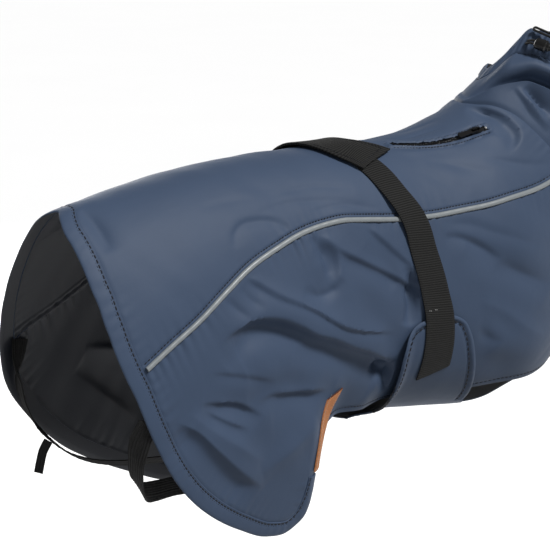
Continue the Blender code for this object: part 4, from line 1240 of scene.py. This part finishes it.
def wovenBand(name, node, band, liftAt, lean, columns=15, fine=1.7):
    # a flat band along a line of places, with thick edges, and a stitched hem if it has one
    rows, width, thick, hem, made = (band[key] for key in ("line", "width", "thick", "hem", "made"))
    line = smoothLine(rows, detail(fine, 4))
    step, run = stepsOf(line), runOf(line)
    slant = leftOf(step) + step * (lean * np.clip(1 - np.linspace(0, 1, len(line)) * 5, 0, 1))[:, None]
    across = np.linspace(-width / 2, width / 2, columns)[:, None]
    places = line + across[..., None] * slant
    edge = np.abs(across) / (width / 2)
    lift = liftAt(places.reshape(-1, 2)).reshape(places.shape[:2]) + thick
    lift += 0.25 * bell(edge - 0.90, 0.05) - 0.3 * ramp(edge, 0.95, 1.0)
    lift += 0.25 * np.sin(run / 14 + across / 9)
    if hem:
        inside = np.minimum(np.minimum(run, run.max() - run), width / 2 - np.abs(across))
        lift -= 0.4 * bell(inside - hem, 0.9)
    weave, inward = threadsOf(run, across), turnOf(places) < 0
    piece = wall(name, laidGrid(places, lift.ravel()), weave, inward, [looks[made]], thick)
    smooth(piece)
    standFor(piece, node)
    return line, slant


def strapLift(places):
    # it lies close on the back and stands off beside the piping and over the wing
    far = np.abs(places[:, 1])
    byPiping = np.abs(far - hermite(cut["piping"], places[:, 0]))
    return 2.1 + 3.0 * np.maximum(1 - ramp(byPiping, 4, 36), ramp(far, 180, 208))


def overStrap(places):
    return strapLift(places) + belt["thick"] + 0.1


def tabLift(places):
    return overStrap(places) + 0.8


def beltPieces():
    for side, word in sides:
        wovenBand("belt_webbing_" + word, "belt_strap_" + word, {**belt, "line": belt[word]}, strapLift,
                  side * belt["lean"])
    line, slant = wovenBand("belt_tab_webbing", "belt_tab", tab, tabLift, tab["lean"], columns=31)
    inset, run = tab["width"] / 2 - tab["hem"], runOf(line)
    keep = (run > tab["hem"]) & (run < run[-1] - tab["hem"])
    rows = [(line + k * inset * slant)[keep] for k in (-1, 1)]
    rows += [np.linspace(rows[0][k], rows[1][k], 30) for k in (0, -1)]
    for k, row in enumerate(rows, 1):
        stitching(f"tab_stitching_{k}", row, lambda places: tabLift(places) + tab["thick"] - 0.1)
    # a short cross stitch holds each strap to the flank
    for side, word in sides:
        for k, offset in enumerate(belt["crossStitch"], 1):
            start = np.array([360.0 + offset, side * 197.0])
            row = np.linspace(start, start + (4.6, side * 1.2), 20)
            stitching(f"strap_stitching_{word}_{k}", row, overStrap, "strap", "pale_thread")


tag = {
    "line": [(249, -262), (243, -277), (237.5, -298), (233, -318), (230, -333)],
    "width": 16.0,
    "thick": 1.2,
    "lean": -0.8,
    "hem": stitchGap["label"],
    "made": "label_weave",
}


def labelPiece():
    low = cut["cloth"] + 0.9

    def tagLift(places):
        return np.full(len(places), low)

    wovenBand("label_cloth", "label_strip", tag, tagLift, tag["lean"], columns=13, fine=1.5)
    line = smoothLine(tag["line"], 1.5)
    for k in (-1, 1):
        row = shifted(line, k * (tag["width"] / 2 - tag["hem"]))
        stitching(f"label_stitching_{k}", row, low + tag["thick"], "label", "pale_thread")


elastic = {
    # x, distance from the middle plane, z
    "right": [
        (-284, 89, -214), (-285, 84, -235), (-279, 76, -256), (-264, 62, -272), (-243, 48, -281),
        (-213, 38, -287), (-180, 38, -293), (-150, 48, -298), (-128, 62, -301),
    ],
    "left": [
        (-308, 84, -192), (-304, 84, -221), (-293, 82, -246), (-284, 72, -260), (-271, 58, -273),
        (-257, 45, -279), (-236, 34, -283), (-205, 29, -287), (-172, 33, -293), (-144, 46, -298),
        (-125, 61, -301),
    ],
    "seat": {-1: (40.0, 212.0, -1.0), 1: (16.0, 172.0, -1.3)},  # its upper end: along, round, lift
    "lean": {-1: 0.0, 1: 1.3},
    "width": 18.0,
    "thick": 1.2,
    "ribs": 8,
    "depth": 0.45,
}
tail = {
    "place": (-283, 72, -259),
    "path": np.array([(0, 0, 0), (-2.5, 3.0, -9), (-5.0, 4.0, -19), (-7.5, 4.5, -30)]),
    "facing": (0.75, 0.66, 0.0),
    "width": 8.0,
    "thick": 1.4,
    "ribs": 4,
    "depth": 0.35,
}


def bandInSpace(name, node, line, widths, outs, band):
    # an elastic along a line of points, ribbed across its width
    ribs, thick = band["ribs"], band["thick"]
    run = runOf(line)
    across = np.linspace(-0.5, 0.5, detail(4, 2) * ribs + 1)[:, None]
    rib = band["depth"] * (np.cos(2 * math.pi * ribs * across) - 1) / 2
    rise = thick / 2 + rib + 0.12 * np.sin(run / 1.1)
    across = across * band["width"]
    points = line + widths * across[..., None] + outs * rise[..., None]
    piece = wall(name, points, threadsOf(run, across), True, [looks["leg_elastic_weave"]], thick)
    smooth(piece)
    standFor(piece, node)
    return piece, float(run[-1]) * mm


def legElastic(side, word):
    along, far, height = elastic["seat"][side]
    seats = np.array([(along, side * far), (208.0, side * 350.0)])
    start, end = laid(seats, height)
    facing = laid(seats, 1.0) - laid(seats)
    line = smoothLine([start, *[(x, side * y, z) for x, y, z in elastic[word]], end], detail(2.0, 6))
    step, run = stepsOf(line), runOf(line)
    out = unit((line - (-205.0, side * 66.0, 0.0)) * (1, 1, 0))
    out[:, 2] = -elastic["lean"][side]
    first, last = (np.clip(1 - away / 40, 0, 1)[:, None] for away in (run, run[-1] - run))
    out = out * (1 - first - last) + first * facing[0] + last * facing[1]
    out = unit(out - (out * step).sum(1)[:, None] * step)
    piece, length = bandInSpace("leg_elastic_weave_" + word, "leg_elastic_" + word, line,
                                np.cross(step, out), out, elastic)
    return line, out


def elasticTail(line, out):
    # the left elastic's end hangs from its stitches
    at = int(np.argmin(np.linalg.norm(line - tail["place"], axis=1)))
    top = line[at] + out[at] * (elastic["thick"] / 2 + 1.3)
    rows = [top + row + out[at] * (2.4 if k else 0) for k, row in enumerate(tail["path"])]
    fall = smoothLine(rows, 1.5)
    step = stepsOf(fall)
    width = unit(np.cross(step, tail["facing"]))
    piece, length = bandInSpace("elastic_tail_weave", "elastic_tail", fall, width,
                                np.cross(width, step), tail)


def zipPieces():
    line = smoothLine(zipCut["line"], 1.5)
    half, length = zipCut["tapeWidth"] / 2, runOf(line)[-1]
    across = np.linspace(-half, half, 9)
    places = np.stack([shifted(line, k) for k in across])
    weave, inward = threadsOf(runOf(line), across[:, None]), turnOf(places) < 0
    tape = wall("zip_tape_cloth", laidGrid(places, zipCut["tapeLift"]), weave, inward,
                [looks["zip_black"]], zipCut["tapeThick"])
    standFor(tape, "zip_tape")
    # the teeth lie on the two sides in turn
    run = np.arange(3, length * zipCut["closed"], zipCut["toothPitch"] / 2)
    here = resample(line, run)
    step = unit(resample(line, run + 0.5) - here)
    left = leftOf(step)
    spots = here + left * np.where(np.arange(len(run)) % 2, 0.95, -0.95)[:, None]
    lift = zipCut["toothLift"]
    ahead = laid(spots + step * 0.5, lift) - laid(spots - step * 0.5, lift)
    aside = laid(spots + left * 0.5, lift) - laid(spots - left * 0.5, lift)
    ups = laid(spots, lift + 0.5) - laid(spots, lift - 0.5)
    beads("zip_teeth", laid(spots, lift), (aside * 1.35, -ahead * 0.62, ups * 0.6), "zip_black")
    # a stop closes the front end of the row; its pale colour is partly a painted highlight, the glint at
    # the zip's end
    stop = laid(resample(line, [length * 0.985]), 2.2)
    beads("zip_end_stop_and_glint", stop, (ahead[-1:] * 1.2, aside[-1:] * 1.6, ups[-1:] * 1.1), "pale_thread")
    for k, offset in ((1, stitchGap["zip"]), (2, -stitchGap["zip"])):
        stitching(f"zip_stitching_{k}", smoothLine(shifted(zipLine, offset), 2), cut["cloth"] + 0.2)


def drawcordTube():
    radius = cord["radius"]
    route = resample(drawcordRoute, np.arange(0, runOf(drawcordRoute)[-1], 0.5))
    step, run = stepsOf(route), runOf(route)[:, None]
    first = unit(np.cross(step, cordFrame()[3]))
    second = np.cross(step, first)
    turn = np.linspace(0, 2 * math.pi, 18, endpoint=False)[None]
    braid = np.abs(np.sin(2.0 * turn + run * 1.3)) + np.abs(np.sin(2.0 * turn - run * 1.3))
    around = np.cos(turn)[..., None] * first[:, None] + np.sin(turn)[..., None] * second[:, None]
    rings = route[:, None] + (radius * (0.93 + 0.05 * braid))[..., None] * around
    piece = ring("drawcord_braid", rings, threadsOf(run, turn * radius), [looks["cord_weave"]])
    standFor(piece, "drawcord")


backPanel()
print("back made")
for side, word in sides:
    flank(side, word)
chestPiece()
print("flanks and chest made")
hemBinding()
collar()
for side, word in sides:
    pipingTube(side, word)
print("hem, collar and piping made")
beltPieces()
labelPiece()
elasticLines = [legElastic(side, word) for side, word in sides]
elasticTail(*elasticLines[1])
zipPieces()
print("belt, label, elastics and zip made")

hardware = {"zip_slider": "black_enamel", "zip_pull": "black_enamel", "cord_lock": "lock_plastic"}
for node, look in hardware.items():
    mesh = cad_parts[node].data
    mesh.materials.clear()
    mesh.materials.append(looks[look])
drawcordTube()

# Stitching along the flanks' lower edges.
for side, word in sides:
    row = shifted(lowerEdge[side], -side * stitchGap["edge"])[4:-2]
    stitching("edge_stitching_" + word, row, cut["cloth"] + 0.1)


studio = {
    "world": 0.20,
    "sun": 3.3,
    "sunAngle": 14,
    "sunPlace": (0.32, -0.88, 1.10),
    "floor": -0.72,
    "pale": 0.97,
    "lamps": [  # name, place, size, power
        ("fill", (-1.5, -1.2, 0.5), 1.2, 3),
        ("far", (0.5, 2.6, 0.4), 1.8, 36),
    ],
}


def floorAndLights():
    bpy.ops.object.select_all(action="DESELECT")
    bpy.ops.mesh.primitive_plane_add(size=60, location=(0, 0, 0))
    floor = bpy.context.object
    floor.name = "studio_floor"
    floor.data.transform(Matrix.Translation((0, 0, studio["floor"])))
    pale = (studio["pale"],) * 3
    made, tree, shader, where = shaderOf("pale_floor", pale, 0.9)
    mottled(tree, shader, where["Object"], pale, 0.01, 2)
    setInputs(tree, shader, {"Specular IOR Level": 0.1})
    floor.data.materials.append(made)
    floor.visible_diffuse = False  # the pale floor doesn't light the undersides of the folds
    world = bpy.data.worlds.new("studio")
    bpy.context.scene.world = world
    world.use_nodes = True
    sky = world.node_tree.nodes["Background"]
    setInputs(world.node_tree, sky, {"Color": (1, 1, 1, 1), "Strength": studio["world"]})
    sun = bpy.data.lights.new("sun", "SUN")
    sun.energy, sun.angle = studio["sun"], math.radians(studio["sunAngle"])
    lamps = [(sun, studio["sunPlace"])]
    for name, place, size, power in studio["lamps"]:
        light = bpy.data.lights.new(name, "AREA")
        light.shape = "DISK"
        light.size, light.energy = size, power
        lamps.append((light, place))
    for light, place in lamps:
        lamp = bpy.data.objects.new(light.name, light)
        bpy.context.scene.collection.objects.link(lamp)
        lamp.location = place
        lamp.rotation_euler = (Vector((0, 0, -0.15)) - Vector(place)).to_track_quat("-Z", "Y").to_euler()


floorAndLights()
bpy.context.scene.view_settings.view_transform = "Standard"
print("floor and lights set")
